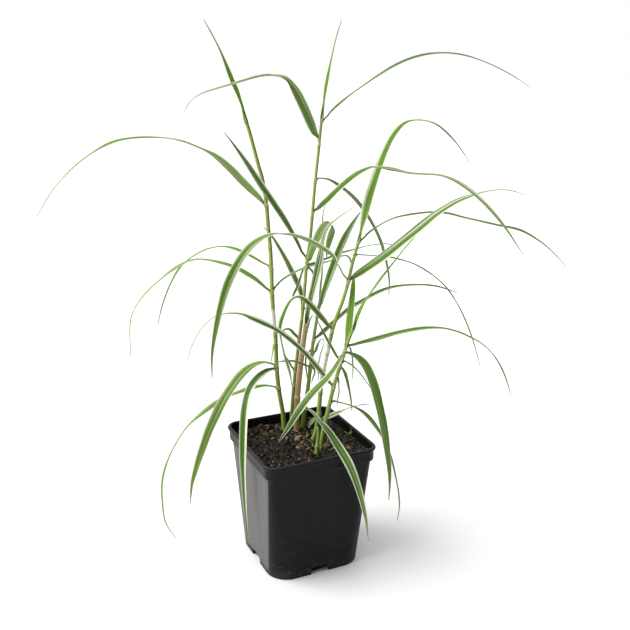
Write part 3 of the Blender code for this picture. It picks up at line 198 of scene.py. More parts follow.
BLADES = {
    "spear_left": Blade(
        "culm_left", 5.0, (-22, -20),
        (
            (245.6, 119.5, 2), (243.5, 110, 2.4), (240.2, 100, 3), (237, 91, 5), (233, 82, 4.8),
            (229, 72, 3.8), (225, 62, 2.5), (220, 50, 1.8), (213, 36, 1.2), (203.5, 19, 0.6),
        ),
        on_top=True,
    ),
    "leaf_left_great_arch": Blade(
        "culm_left", 8.5, (-50, -75, -90),
        (
            (266, 205, 2), (260, 198.5, 5), (250, 188.5, 7.5), (240, 178.5, 8), (230, 168, 7.5),
            (215, 155.5, 5.5), (200, 147.5, 2), (180, 140, 1.3), (160, 137, 1.4), (130, 138, 2.6),
            (110, 143, 3), (90, 154, 1.6), (72, 168.5, 1.1), (53, 189.5, 1), (37, 216, 0.6),
        ),
    ),
    "leaf_left_thin_arch": Blade(
        "culm_left", 4.6, (-62, -95, -115),
        (
            (269.5, 267, 1.6), (264.5, 263.8, 1.8), (257, 259.3, 2.8), (248, 254.2, 3.2),
            (240, 250.4, 3.2), (231, 247.5, 2.6), (221, 246.3, 1.6), (210, 248, 1.5),
            (199, 252.5, 1.5), (187, 260.4, 1.6), (178, 270, 2.2), (172, 280.5, 2),
            (166.5, 293, 1.6), (161, 310, 1.2), (158, 324.5, 0.6),
        ),
    ),
    "leaf_left_long_arch": Blade(
        "culm_left", 6.0, (-52, -72, -85),
        (
            (270.5, 292, 1.8), (264.5, 286.7, 3), (255.6, 279, 4.2), (246, 273, 4.6),
            (237, 268, 4.4), (228, 264.5, 3.8), (219, 262, 3), (209, 260, 1.3), (199, 259.2, 1.6),
            (188, 261, 2.6), (174, 268.8, 2.8), (160, 279.5, 2), (148.5, 290, 1.4),
            (137, 304, 1.2), (131.2, 317, 1.1), (129.8, 332, 1), (130.6, 356, 0.6),
        ),
    ),
    "leaf_left_inner": Blade(
        "culm_left", 3.6, (-40, -41, -41),
        (
            (274, 289.5, 1.6), (279.5, 282, 2), (288, 275.8, 2.4), (297, 271, 2.4),
            (306, 267.2, 2.4), (316, 264.4, 2.4), (326, 262, 2.2), (335, 259, 2),
            (344, 255.4, 1.8), (349.4, 257.5, 2), (351.4, 264, 1.6), (351, 272, 0.8),
        ),
    ),
    "leaf_left_low_sweep": Blade(
        "culm_left", 9.4, (-8, 12, 24),
        (
            (274.6, 365.4, 2), (270, 363.4, 1.5), (264, 362, 3), (256, 363.5, 5), (248, 368, 7.4),
            (239, 376.8, 9), (230, 389, 9.5), (222, 402, 9.5), (215, 416.5, 9.3), (208.5, 431, 8.6),
            (203, 447, 7.6), (198.3, 461, 6.7), (194.5, 474, 5.2), (191.8, 485, 3), (190.3, 503, 0.8),
        ),
    ),
    "leaf_left_over_corner": Blade(
        "culm_left", 8.2, (12, 32, 36, 34),
        (
            (275, 368.6, 2), (268, 370, 4.5), (261, 374.5, 6.4), (254.5, 381.5, 7.6), (249.5, 389.5, 8),
            (246.2, 400, 8), (244.2, 413, 8), (243.2, 430, 8), (242.7, 448, 7.4), (242.8, 466, 6),
            (243.5, 484, 4.8), (244.6, 502, 3.6), (246.2, 521, 2.4), (248.4, 543, 0.9),
        ),
    ),
    "leaf_left_low_long": Blade(
        "culm_left", 5.6, (-36, -26, 2, 16),
        (
            (276, 388, 1.5), (270, 385.9, 1.5), (264, 385.4, 3), (256, 386.6, 4), (248, 388.6, 4.6),
            (239, 391.8, 4), (229, 395.6, 3.6), (219, 400.6, 5), (208, 408.8, 5), (197, 417.3, 3.8),
            (188, 425.5, 2), (180, 436.5, 1.2), (172, 450.5, 1.6), (166, 465, 2.4), (162.4, 481, 2.2),
            (162.3, 500, 2), (165.5, 522, 1.2), (176, 538, 0.6),
        ),
    ),
    "spear_tall": Blade(
        "culm_tall", 3.4, (8, 10),
        (
            (322, 115.8, 2), (323.2, 108, 2.2), (324.4, 98, 2.4), (325.7, 88, 3.3), (327.4, 78, 3.3),
            (329.6, 67, 2.4), (332.4, 54, 1.4), (336.4, 37, 1), (341.5, 20, 0.6),
        ),
        on_top=True,
    ),
    "leaf_tall_thin_arch": Blade(
        "culm_tall", 3.4, (-12, -32, -60),
        (
            (323.6, 121.5, 1.5), (330, 112.5, 2), (340, 103, 2.5), (351, 94, 1.8), (364, 85, 1.9),
            (380, 74, 2.2), (395, 65, 3), (412, 57.8, 2.4), (430, 53.5, 2), (450, 53, 1.5),
            (470, 56.5, 1.2), (490, 64, 0.9), (510, 74, 0.8), (530, 87, 0.6),
        ),
    ),
    "leaf_tall_folded": Blade(
        "culm_tall", 10.0, (8, 12, 26, 44),
        (
            (317.4, 138.5, 4), (313.5, 130, 8), (309, 119, 9), (304, 107.5, 9.5), (299, 97, 10),
            (294, 88, 8.5), (288, 79.5, 4), (280, 75.6, 3), (270, 74.2, -2), (258, 76, -1.4),
            (246, 79.4, -2.4), (232, 83.6, -3), (218, 88, -2), (203, 92.8, -1.1), (191, 100.5, -0.9),
            (183.5, 113, -0.6),
        ),
    ),
    "leaf_tall_behind": Blade(
        "culm_tall", 4.6, (-26, -36, -42),
        (
            (317.4, 179.2, 1.4), (323, 178.4, 1.3), (329, 179.6, 2), (336, 183.4, 3), (345, 189.6, 3.5),
            (354, 197.8, 3.8), (361, 206, 3.6), (368, 216, 3.4), (375, 228.5, 3.2), (381, 242, 3),
            (385, 256, 2.6), (388, 270, 2.2), (389.3, 282, 1.6), (388.8, 295, 0.8),
        ),
    ),
    "leaf_tall_long_right": Blade(
        "culm_tall", 6.2, (24, 46, 62, 75),
        (
            (314.6, 211.6, 3), (320, 206.4, 5), (328, 199, 6), (337, 190, 6), (347, 181.2, 6),
            (357, 173.6, 5), (366, 169, 4.3), (373, 166.6, 2.2), (379, 166.9, -1), (387, 168.3, -4.8),
            (397, 169.8, -4), (410, 172.8, -1.8), (425, 174, -1.5), (440, 175, -2.2), (455, 180.2, -3.5),
            (470, 190, -4), (483, 201.5, -3.9), (495, 214.6, -3.6), (507, 230, -2.2), (523, 254.5, -0.6),
        ),
    ),
    "leaf_tall_dark": Blade(
        "culm_tall", 6.4, (-13, -9, -2),
        (
            (304.4, 257.5, 1.8), (297.4, 242, 3.6), (291, 230, 5), (284, 218.4, 5.6), (277, 208, 6),
            (270, 197.5, 6.5), (263, 187.5, 6.8), (256.6, 177.6, 6.4), (250, 167.5, 5.5),
            (244, 158.8, 4.3), (237, 149, 3), (230, 139.6, 1.6), (223, 131, 0.6),
        ),
    ),
    "leaf_tall_bright_fold": Blade(
        "culm_tall", 7.4, (-6, -5, -4, -8),
        (
            (308.2, 261.5, 3), (310.6, 254, 6), (313.8, 246, 7.4), (317.2, 237.5, 7.6),
            (321, 229.6, 7.4), (325.5, 223.6, 6), (331, 223.6, 4), (332.6, 228.6, -5.6),
            (330.6, 236, -6.6), (328.6, 243.5, -5.6), (327.2, 251, -3), (326.4, 258, -0.8),
        ),
    ),
    "leaf_tall_low_left": Blade(
        "culm_tall", 3.4, (-30, -32),
        (
            (305.2, 266.4, 1.4), (302.8, 270.5, 2), (301.2, 275, 2.5), (299.6, 281, 2.8),
            (297.4, 287, 3), (294.6, 292.6, 2.8), (292.4, 297.5, 1.6), (291, 302, 0.8),
        ),
    ),
    "leaf_tall_thin_right": Blade(
        "culm_tall", 3.0, (-34, -37, -44),
        (
            (309.6, 265.6, 2.4), (316, 262.6, 2.8), (322, 260, 2.6),
            (329, 257.6, 2.4), (336, 254.6, 2.2),
            (343, 252.2, 2.2), (350, 250.4, 2.3), (358, 248.2, 1.6), (366, 246.2, 1), (376, 244.4, 0.8),
            (386, 243.8, 1), (395, 245.4, 0.6),
        ),
    ),
    "leaf_tall_up_left": Blade(
        "culm_tall", 5.8, (-44, -48, -52),
        (
            (302, 308, 2), (302.2, 299, 4), (299.6, 288, 5.6), (295, 277.8, 5.6), (290, 267.5, 5),
            (284.6, 257, 4.4), (278.6, 246.6, 3.6), (273, 237.6, 2.4),
            (267.6, 231.2, 1.4), (262.6, 226, 0.6),
        ),
    ),
    "leaf_tall_small_arch": Blade(
        "culm_tall", 3.4, (-38, -40),
        (
            (297.4, 338.6, 2.2), (295.4, 335.6, 3), (293, 332.4, 3.4), (290.4, 329.8, 2.8),
            (287.4, 328.8, 2), (284, 329.8, 2), (281, 331.6, 0.8),
        ),
    ),
    "leaf_tall_short": Blade(
        "culm_tall", 2.4, (-42, -44),
        ((293.4, 370.6, 1.2), (291.6, 367, 2), (289.8, 363.4, 2.2), (288, 360, 2), (286, 356.6, 0.8)),
    ),
    "leaf_brown_top": Blade(
        "culm_brown", 7.8, (-17, -4, 3, 7),
        (
            (306.8, 319.5, 4), (308, 311, 5.4), (310, 301, 6.2),
            (312.4, 290.6, 6.8), (315.2, 279.6, 7.6),
            (318, 268, 7.8), (320.4, 256, 7.4), (322, 245, 5.4), (324.4, 234.6, 4.4), (329, 225.8, 3),
            (335.6, 219.6, 1.6), (344, 213.6, 1.1), (352, 208.3, 0.6),
        ),
        on_top=True,
    ),
    "leaf_back_top": Blade(
        "culm_back", 7.8, (-18, -14, -10),
        (
            (320, 305.4, 2.6), (321.8, 299, 4.4), (324.6, 290, 6.2), (328, 280.6, 7), (331.8, 270, 7.6),
            (335.4, 260.6, 7.6), (339.4, 250, 7.2), (344, 239.6, 7), (349, 230, 5.4), (354, 221.6, 3.8),
            (360.4, 212, 1),
        ),
    ),
    "spear_back": Blade(
        "culm_back", 2.2, (-31, -32),
        (
            (319, 305.5, 2), (320, 296, 2.2), (320.6, 286, 2), (321.8, 276, 1.8), (322.8, 262, 1.6),
            (322.6, 246, 1.4), (322, 230, 1.3), (323, 215, 1), (325, 205, 0.6),
        ),
        on_top=True,
    ),
    "leaf_back_right": Blade(
        "culm_back", 4.6, (-40, -58, -66, -72),
        (
            (315, 339.4, 2), (318.4, 336.2, 3), (323, 331.8, 4.6),
            (328.5, 326.6, 4.4), (335, 320.6, 4.2),
            (343, 313.4, 4.4), (351, 307, 4.2), (359, 302.4, 3.8), (368, 297.2, 3.8), (377, 292.4, 4),
            (387, 288.4, 3), (397, 286, 2.4), (410, 284.8, 2.2), (424, 284.7, 1.8), (437, 286.2, 1.6),
            (448, 289.4, 1.2), (457.5, 293, 0.6),
        ),
    ),
    "leaf_back_fold": Blade(
        "culm_back", 3.2, (-26, -22, -24),
        (
            (314, 354.6, 2.2), (316.4, 348.6, 3), (318.8, 342.8, 2.4), (321.4, 338.6, 1.2),
            (323.6, 339.4, 0.3), (324, 343.4, -1.2), (322.6, 348.4, -1.8), (320.6, 354, -1.8),
            (319.4, 360, -1.7), (318, 366.5, -1.5), (318.2, 373, -1.2), (318.7, 380.5, -0.6),
        ),
    ),
    "leaf_back_left": Blade(
        "culm_back", 2.6, (-25, -24, -27),
        (
            (308.8, 366.4, 2), (304, 364.4, 2), (298.5, 362.4, 2.1),
            (292.5, 360.9, 2.3), (286.5, 360.8, 2.2),
            (281.5, 361.3, 1.6), (277, 362.4, 0.8),
        ),
    ),
    "leaf_back_hanging": Blade(
        "culm_back", 1.8, (-42, -44),
        (
            (310.6, 350, 1.1), (308, 352.8, 1.4), (306, 357, 1.8), (305.6, 362, 1.8), (306, 368, 1.7),
            (306.8, 374, 1.3), (307.3, 380, 0.6),
        ),
    ),
    "leaf_back_over_rim": Blade(
        "culm_back", 8.8, (31, 40, 45, 49, 50, 49, 47, 45),
        (
            (306.8, 407.6, 1.6), (311, 410.8, 2.5), (316, 415.6, 2.8),
            (320.4, 421, 3.8), (325.4, 427, 5.6),
            (331, 434.6, 7), (337, 444, 8.4), (343, 453.6, 9), (349, 464, 9), (354, 475.5, 8),
            (358, 487, 7), (361.5, 499, 5.8), (364.5, 512, 4.4), (366.8, 525, 2.6), (368.5, 541, 0.8),
        ),
    ),
    "leaf_middle_top": Blade(
        "culm_middle", 9.0, (7, 6, -4, -16),
        (
            (359.6, 237.2, 2.4), (360.6, 231, 3.4), (362.6, 222, 5.6), (365.2, 211, 8), (368, 199.5, 9),
            (371.4, 188, 9), (375, 177, 8.6), (379, 165.5, 7.6), (384, 152.6, 7), (390.6, 139, 6.6),
            (397.6, 129, 5.6), (404, 123, 3.4), (412, 120, 1.6), (424, 119.8, 1), (436, 124, 1.5),
            (448, 133.6, 1.7), (458, 145, 1.3), (469, 161, 0.6),
        ),
        on_top=True,
    ),
    "leaf_middle_thin": Blade(
        "culm_middle", 3.2, (-14, -34, -56),
        (
            (360.8, 242.4, 1.6), (365.4, 236, 2), (371.4, 230.4, 1.8),
            (379, 225.3, 1.6), (389, 220, 1.5),
            (400, 216.4, 1.7), (415, 213.6, 2), (432, 212, 2.2), (448, 213.2, 2), (464, 217.2, 2),
            (482, 221.4, 2), (500, 225.4, 2.1), (518, 229.2, 2.5), (532, 236, 2), (548, 247.5, 1.2),
            (566, 266, 0.6),
        ),
    ),
    "leaf_middle_wide": Blade(
        "culm_middle", 9.0, (13, 19, 20),
        (
            (350.6, 280.4, 3), (354.6, 276.4, 5.6), (361, 272, 7.6), (370, 265.8, 8.4), (380, 259, 8.8),
            (391, 250.6, 9), (402, 241.6, 9), (413, 233, 9), (425, 223, 8.8), (436, 214, 7.4),
            (447, 206.8, 6), (458, 200.6, 5), (468, 196.6, 3.8), (480, 192.7, 2.2), (494, 190, 1.1),
            (510, 190.3, 0.9), (524, 194.5, 0.6),
        ),
    ),
    "leaf_middle_front_arch": Blade(
        "culm_middle", 9.4, (30, 50, 62, 68),
        (
            (345.4, 279.4, 1.2), (342, 271.6, 1.2), (338.6, 265, 1.8), (334.4, 257.4, -3.8),
            (328, 251.6, -4.8), (319, 245.6, -5), (309, 240, -5), (298, 236, -4), (287, 233.6, -2),
            (277, 232.8, 2), (268, 234.8, 4), (259, 239.4, 6.2), (249.6, 247.4, 8.2), (240.6, 259, 9),
            (232.4, 273.6, 9), (226, 289, 8.6), (220.6, 307.6, 7.2),
            (216.4, 326.4, 5.6), (213.2, 345, 3.8),
            (211.8, 361, 2.4), (212.2, 378, 0.8),
        ),
    ),
    "leaf_middle_falling": Blade(
        "culm_middle", 6.2, (2, 2, -6, -12, -14),
        (
            (331, 328.2, 3), (326, 322.4, 5), (320, 315, 6), (314, 308, 6), (308, 302, 5.6),
            (302.6, 298, 4.2), (297.4, 296.4, 2.4), (291.8, 299, 4.4),
            (287.6, 304.4, 4), (284.6, 310.6, 4.2),
            (281.8, 318, 4.6), (279.8, 326.5, 4.6), (280.2, 335.5, 2.6),
            (281.8, 344, 2), (283.8, 352.5, 2),
            (286.2, 361.5, 2.8), (288.8, 369, 2.8), (290.7, 377, 1.8), (291.6, 385, 0.7),
        ),
    ),
    "leaf_middle_far_arch": Blade(
        "culm_middle", 2.4, (-44, -74, -92),
        (
            (357, 255.3, 1.2), (366, 255, 1), (376, 255.6, 1), (387, 256.8, 1.3), (399, 259, 1.4),
            (412, 263, 1.2), (425, 269.8, 1.3), (437, 278.4, 1.2),
            (447.6, 289, 1.3), (456.6, 302.4, 1.1),
            (464.5, 318, 1.3), (471.4, 335.4, 1.3), (476, 350.5, 0.9), (480, 366, 0.5),
        ),
    ),
    "leaf_middle_low": Blade(
        "culm_middle", 3.2, (-6, -4),
        (
            (316.2, 416.6, 1.4), (313.6, 419, 2.6), (311.4, 421.8, 3),
            (309.6, 424.8, 2.4), (308.2, 428, 0.8),
        ),
    ),
    "leaf_middle_striped": Blade(
        "culm_middle", 4.8, (-14, -26, -36),
        (
            (320.2, 420, 1.6), (325, 418, 2.8), (330, 415.8, 4.8),
            (335.4, 413.4, 4.6), (340.4, 411.2, 2.8),
            (346, 408.8, 1.4), (352, 406.9, 1), (360, 405, 1.1), (370, 404.2, 0.5),
        ),
    ),
    "spear_right": Blade(
        "culm_right", 3.8, (10, 2, -5),
        (
            (353.6, 327.6, 2.4), (355.6, 320.4, 3.4), (359, 311.8, 4),
            (363, 303.8, 3.2), (368, 296.6, 2),
            (374, 288.2, 2), (381, 278.2, 2.2), (389, 268, 2), (397.4, 257.6, 1.4), (406, 246.6, 1.1),
            (415, 237, 0.8), (424, 228.5, 0.4),
        ),
        on_top=True,
    ),
    "leaf_right_upright": Blade(
        "culm_right", 7.8, (4, 0, -7),
        (
            (347.2, 344, 2.2), (347.4, 337.6, 4), (348.4, 330, 6.8), (349.6, 320, 7.6), (350.8, 310, 7),
            (352, 300, 6), (352.8, 291, 5.2), (353.4, 283, 4), (353.8, 275.6, 1),
        ),
    ),
    "leaf_right_long": Blade(
        "culm_right", 5.0, (26, 40, 54),
        (
            (349.6, 346.8, 2), (354, 344.6, 3), (361, 342.4, 3.6), (370, 340.2, 5), (381, 337.2, 5),
            (392, 334, 4.8), (404, 331.2, 4.6), (417, 328.9, 4.1), (430, 327.6, 3), (443, 328, 2.3),
            (456, 331, 2), (469, 336.4, 1.5), (481, 342.8, 1.2), (492, 353, 1.1), (501, 367, 1.4),
            (506.6, 380.5, 1.4), (510.8, 395, 0.5),
        ),
    ),
    "leaf_right_broad": Blade(
        "culm_right", 9.0, (34, 38, 34),
        (
            (348.4, 353, 2), (353.6, 354.6, 4), (360, 358.8, 7), (365.4, 365, 8.6), (369.8, 373.6, 9),
            (373.4, 383, 9), (376.4, 393, 8.8), (379, 403.6, 8.6), (381.6, 415.4, 8.2), (384, 428, 8),
            (386.2, 442, 7.4), (388.2, 458, 5.8), (389.6, 473, 4), (389.7, 487, 2.2), (388.7, 500, 0.8),
        ),
    ),
    "leaf_right_front": Blade(
        "culm_right", 8.6, (28, 30, 22),
        (
            (343, 355.4, 3), (339.4, 360, 4.4), (335.4, 366.6, 5.4),
            (330.6, 373.2, 5.8), (325, 380, 6.6),
            (318.4, 386.6, 7.4), (311.8, 393.6, 8), (305.6, 401, 8.2),
            (299.8, 409, 7.6), (294.4, 417.2, 6.6),
            (289.2, 426, 5), (284, 434, 3.2), (278.6, 442.4, 0.9),
        ),
    ),
    "leaf_right_across": Blade(
        "culm_right", 6.2, (12, 11, 12, 10, 4),
        (
            (332.2, 386, 3), (328, 380.4, 4.4), (323, 373.8, 5.2),
            (316.6, 366, 5.4), (309.4, 357.4, 5.2),
            (302.6, 350.2, 5.4), (295.6, 343.8, 5.2), (288, 337.4, 5.2),
            (280.6, 332, 4.8), (273.4, 327.6, 5.2),
            (266, 324.2, 6), (258.6, 320.8, 6), (251, 317.6, 4.8), (243.6, 314.4, 2.2), (234, 313, 2.2),
            (224, 313.6, 1.8), (213.6, 317.2, 1.4), (203.4, 326, 1.2),
            (196, 337, 1.2), (190.6, 349, 0.9),
            (187.4, 361, 0.5),
        ),
    ),
    "leaf_right_folded": Blade(
        "culm_right", 3.0, (6, -2, -10, -20),
        (
            (339.4, 361.4, 1.6), (337, 357, 2.6), (333.8, 351, 3), (330.4, 344.8, 3), (326.8, 338.8, 3),
            (323, 331.6, 1.8), (319.6, 325, 1.4), (316.6, 318.8, 1),
            (313.6, 315, 0.3), (310.8, 317.6, -1.2),
            (309.2, 322.6, -1.8), (308, 328, -1.5), (307.4, 333, -0.6),
        ),
    ),
    "leaf_right_over_side": Blade(
        "culm_right", 5.2, (0, -4, 2, 10),
        (
            (335.4, 401.8, 1.8), (340, 402.4, 1.2), (346, 404, 1.2),
            (352, 405.8, 1.2), (357.4, 408.4, 2.4),
            (363, 412, 3.8), (369, 417.6, 4.6), (375, 425, 4), (380.4, 433, 3), (385.4, 442.6, 2.6),
            (389.6, 453, 2.2), (393, 464.6, 2), (396, 478, 1.8), (398.6, 493, 1.6), (399.3, 507, 1.2),
            (397, 521, 0.5),
        ),
    ),
    "leaf_right_narrow": Blade(
        "culm_right", 3.4, (18, 23),
        (
            (343.2, 367.6, 1.8), (344.8, 372, 3), (346.6, 378, 3.1),
            (348.2, 384.6, 2.7), (349.6, 391.4, 2.2),
            (350.8, 398.6, 1.8), (351.4, 405, 1.2), (351.6, 411, 0.5),
        ),
    ),
    "leaf_right_thin": Blade(
        "culm_right", 1.8, (0, -8),
        (
            (344.4, 361.4, 1.2), (348.6, 363.2, 1.4), (353.4, 366.2, 1.5), (358.4, 371.4, 1.4),
            (363.4, 377.6, 1.2), (367.6, 383.6, 1), (371.6, 390, 0.5),
        ),
    ),
    "leaf_right_drooping": Blade(
        "culm_right", 2.2, (3, 3, 4),
        (
            (351.2, 346.4, 1.4), (351.8, 353.5, 2), (352.5, 360, 1.6),
            (353, 366, 1.3), (352.8, 373, 1.1),
            (352.5, 379, 0.5),
        ),
    ),
    "leaf_right_hanging": Blade(
        "culm_right", 1.8, (14, 15),
        (
            (338.3, 378, 1.2), (338.8, 385, 1.4), (339, 392, 1.5), (337.9, 398, 1.4), (337, 406.5, 0.5),
        ),
    ),
    "leaf_tall_drooping": Blade(
        "culm_tall", 2.6, (-18, -17),
        (
            (309.2, 267.6, 1.4), (311.4, 269.6, 2.4), (313, 272.8, 2.4),
            (313.6, 276.6, 1.4), (313.2, 280, 0.6),
        ),
    ),
    "leaf_left_pale": Blade(
        "culm_left", 1.8, (-28, -27),
        ((274, 344.6, 1), (272.8, 350.4, 1.5), (271.9, 356.6, 1.2), (271, 362.6, 0.5)),
    ),
    "leaf_back_small": Blade(
        "culm_back", 2.2, (-30, -28),
        ((316.4, 366.6, 1.4), (314.9, 371.6, 2), (313.2, 377, 1.6), (311.5, 382.6, 0.6)),
    ),
}

# How each blade is marked, seen along it from its foot: cream margin on its left and on its right as
# shares of its width, tone from dark to pale, warmth from grey green to yellow green, and streaks
PLAIN_MARKS = (0.08, 0.12, 0.25, 0.15, 0.25)
MARKS = {
    "spear_left": (0.03, 0.05, 0.35, 0.8, 0.1),
    "spear_tall": (0.03, 0.05, 0.4, 0.7, 0.1),
    "spear_back": (0.05, 0.05, 0.5, 0.5, 0.1),
    "spear_right": (0.03, 0.04, 0.45, 1.0, 0.1),
    "leaf_left_great_arch": (0.05, 0.13, 0.35, 0.3, 0.25),
    "leaf_left_thin_arch": (0.04, 0.08, 0.3, 0.6, 0.1),
    "leaf_left_long_arch": (0.05, 0.08, 0.35, 0.35, 0.2),
    "leaf_left_inner": (0.15, 0.10, 0.3, 0.0, 0.3),
    "leaf_left_low_sweep": (0.07, 0.12, 0.5, 0.25, 0.35),
    "leaf_left_over_corner": (0.28, 0.07, 0.05, 0.0, 0.5),
    "leaf_left_low_long": (0.08, 0.1, 0.4, 0.2, 0.25),
    "leaf_tall_thin_arch": (0.05, 0.1, 0.25, 0.0, 0.15),
    "leaf_tall_folded": (0.11, 0.1, 0.0, 0.2, 0.35),
    "leaf_tall_behind": (0.06, 0.08, 0.0, 0.0, 0.2),
    "leaf_tall_long_right": (0.1, 0.14, 0.4, 0.05, 0.35),
    "leaf_tall_dark": (0.06, 0.18, -0.2, 0.0, 0.5),
    "leaf_tall_bright_fold": (0.06, 0.06, 0.1, 0.5, 0.1),
    "leaf_tall_low_left": (0.14, 0.06, 0.1, 0.0, 0.2),
    "leaf_tall_thin_right": (0.1, 0.1, 0.35, 0.0, 0.25),
    "leaf_tall_up_left": (0.08, 0.16, 0.0, 0.05, 0.35),
    "leaf_tall_small_arch": (0.05, 0.05, 0.3, 0.5, 0.1),
    "leaf_brown_top": (0.12, 0.17, 0.4, 0.05, 0.6),
    "leaf_back_top": (0.05, 0.16, 0.2, 0.25, 0.25),
    "leaf_back_right": (0.1, 0.1, 0.05, 0.0, 0.3),
    "leaf_back_over_rim": (0.13, 0.16, 0.35, 0.15, 0.5),
    "leaf_middle_top": (0.14, 0.08, 0.35, 0.4, 0.25),
    "leaf_middle_thin": (0.05, 0.06, 0.3, 0.3, 0.1),
    "leaf_middle_wide": (0.07, 0.14, 0.1, 0.3, 0.6),
    "leaf_middle_front_arch": (0.15, 0.1, 0.45, 0.3, 0.25),
    "leaf_middle_falling": (0.08, 0.24, 0.05, 0.2, 0.4),
    "leaf_middle_far_arch": (0.05, 0.05, 0.1, 0.0, 0.0),
    "leaf_middle_low": (0.22, 0.1, 0.5, 0.0, 0.4),
    "leaf_middle_striped": (0.28, 0.28, 0.5, 0.0, 1.0),
    "leaf_right_upright": (0.04, 0.06, 0.25, 0.6, 0.1),
    "leaf_right_long": (0.06, 0.1, 0.05, 0.05, 0.3),
    "leaf_right_broad": (0.05, 0.1, 0.05, 0.2, 0.25),
    "leaf_right_front": (0.17, 0.13, 0.2, 0.15, 0.35),
    "leaf_right_across": (0.18, 0.28, 0.1, 0.0, 1.0),
    "leaf_right_folded": (0.1, 0.18, 0.1, 0.0, 0.3),
    "leaf_right_over_side": (0.06, 0.17, 0.1, 0.1, 0.2),
    "leaf_right_narrow": (0.05, 0.05, 0.3, 0.4, 0.2),
}

# Stretches of the culms that look pale, bright or dry, from height to height in the view
SHEATHS = {
    "culm_left": ((309, 330, "pale"), (411, 432, "bright")),
    "culm_tall": ((330, 352, "dry"),),
    "culm_back": ((392, 432, "bright"),),
    "culm_middle": ((346, 369, "pale"), (400, 446, "bright")),
    "culm_right": ((338, 360, "bright"), (404, 448, "bright")),
    "culm_brown": ((320, 432, "dry"),),
}

BLADE_STATION = 2.6 * MM
BLADE_COLUMNS = 8
BLADE_THICKEST = 0.42 * MM
EDGE_WAVE_LENGTH = 6.5 * MM
CULM_STATION = 1.5 * MM
CULM_SIDES = 16


# What every colour setting shares
COLOUR = {"subtype": "COLOR", "size": 3, "min": 0, "max": 1}


class PotSettings(bpy.types.PropertyGroup):
    plastic: FloatVectorProperty(
        name="Plastic", description="Colour of the clean plastic",
        default=(0.0034, 0.0035, 0.0038), **COLOUR,
    )
    # this colour serves both for dust and for the painted sheen on the pot's lit left side
    dust_and_sheen: FloatVectorProperty(
        name="Dust", description="Colour of the brushed side and of dust",
        default=(0.120, 0.118, 0.115), **COLOUR,
    )
    gloss_roughness: FloatProperty(
        name="Roughness", description="Roughness of the clean plastic",
        subtype="FACTOR", min=0, max=1, default=0.42,
    )
    lip_rounding: FloatProperty(
        name="Lip rounding", description="Radius of the bead along the rim",
        unit="LENGTH", min=0.0002, max=0.0017, default=1.7 * MM,
    )


class SoilSettings(bpy.types.PropertyGroup):
    damp: FloatVectorProperty(
        name="Damp soil", description="Colour of the damp soil",
        default=(0.0032, 0.0025, 0.0019), **COLOUR,
    )
    dry: FloatVectorProperty(
        name="Dry crumbs", description="Colour of the drier crumbs",
        default=(0.068, 0.047, 0.03), **COLOUR,
    )
    lump_height: FloatProperty(
        name="Lump height", description="How far lumps stand above the soil's level",
        unit="LENGTH", min=0, max=0.004, default=2.5 * MM,
    )
    crumbs: IntProperty(
        name="Crumbs", description="Loose crumbs on the soil", min=0, max=4000, default=1700,
    )


class PlantSettings(bpy.types.PropertyGroup):
    dark_green: FloatVectorProperty(
        name="Dark green", description="Darkest blades",
        default=(0.035, 0.115, 0.008), **COLOUR,
    )
    pale_green: FloatVectorProperty(
        name="Pale green", description="Palest blades",
        default=(0.27, 0.41, 0.095), **COLOUR,
    )
    fresh_green: FloatVectorProperty(
        name="Fresh green", description="Young blades and spears",
        default=(0.17, 0.34, 0.008), **COLOUR,
    )
    underside: FloatVectorProperty(
        name="Underside", description="Grey green of the blades' undersides",
        default=(0.20, 0.31, 0.095), **COLOUR,
    )
    cream: FloatVectorProperty(
        name="Cream", description="Margins and streaks of the blades",
        default=(0.78, 0.80, 0.64), **COLOUR,
    )
    straw: FloatVectorProperty(
        name="Straw", description="Collars and dry ends",
        default=(0.50, 0.42, 0.20), **COLOUR,
    )
    culm_green: FloatVectorProperty(
        name="Culm green", description="Green culms",
        default=(0.30, 0.38, 0.06), **COLOUR,
    )
    culm_pale: FloatVectorProperty(
        name="Culm pale", description="Pale culms and sheaths",
        default=(0.27, 0.38, 0.07), **COLOUR,
    )
    culm_brown: FloatVectorProperty(
        name="Culm brown", description="The old culm's dry sheath",
        default=(0.36, 0.24, 0.115), **COLOUR,
    )
    edge_wave: FloatProperty(
        name="Edge wave", description="How far a blade's edges wave",
        unit="LENGTH", min=0, max=0.002, default=0.28 * MM,
    )
    see_through: FloatProperty(
        name="Light through", description="Share of light that passes through a blade",
        subtype="FACTOR", min=0, max=1, default=0.22,
    )


class StudioSettings(bpy.types.PropertyGroup):
    key: FloatProperty(
        name="Key light", description="Strength of the soft light from the left",
        min=0, max=20, default=3.1,
    )
    key_angle: FloatProperty(
        name="Key width", description="How wide the soft light looks from the pot",
        subtype="ANGLE", min=0, max=3, default=math.radians(56),
    )
    ambient: FloatProperty(
        name="Ambient", description="Strength of the studio's light walls",
        min=0, max=5, default=0.82,
    )
    floor_tone: FloatProperty(
        name="Floor", description="How pale the floor is",
        subtype="FACTOR", min=0, max=1, default=0.82,
    )


SETTINGS = {
    "grass_pot": PotSettings,
    "grass_soil": SoilSettings,
    "grass_plant": PlantSettings,
    "grass_studio": StudioSettings,
}


# Routes in space


def ray_through(x, y):
    """Direction from the viewer through a place in the view."""
    across = (x - VIEW_SIZE / 2) / VIEW_FOCAL
    down = (y - VIEW_SIZE / 2) / VIEW_FOCAL
    return VIEW_RIGHT * across - VIEW_UP * down - VIEW_BACK


def placed(x, y, depth):
    """The point seen at (x, y) that lies this far in front of the pot's middle."""
    ray = ray_through(x, y)
    return VIEWER + ray * ((depth - VIEWER.dot(VIEW_TOWARDS)) / ray.dot(VIEW_TOWARDS))


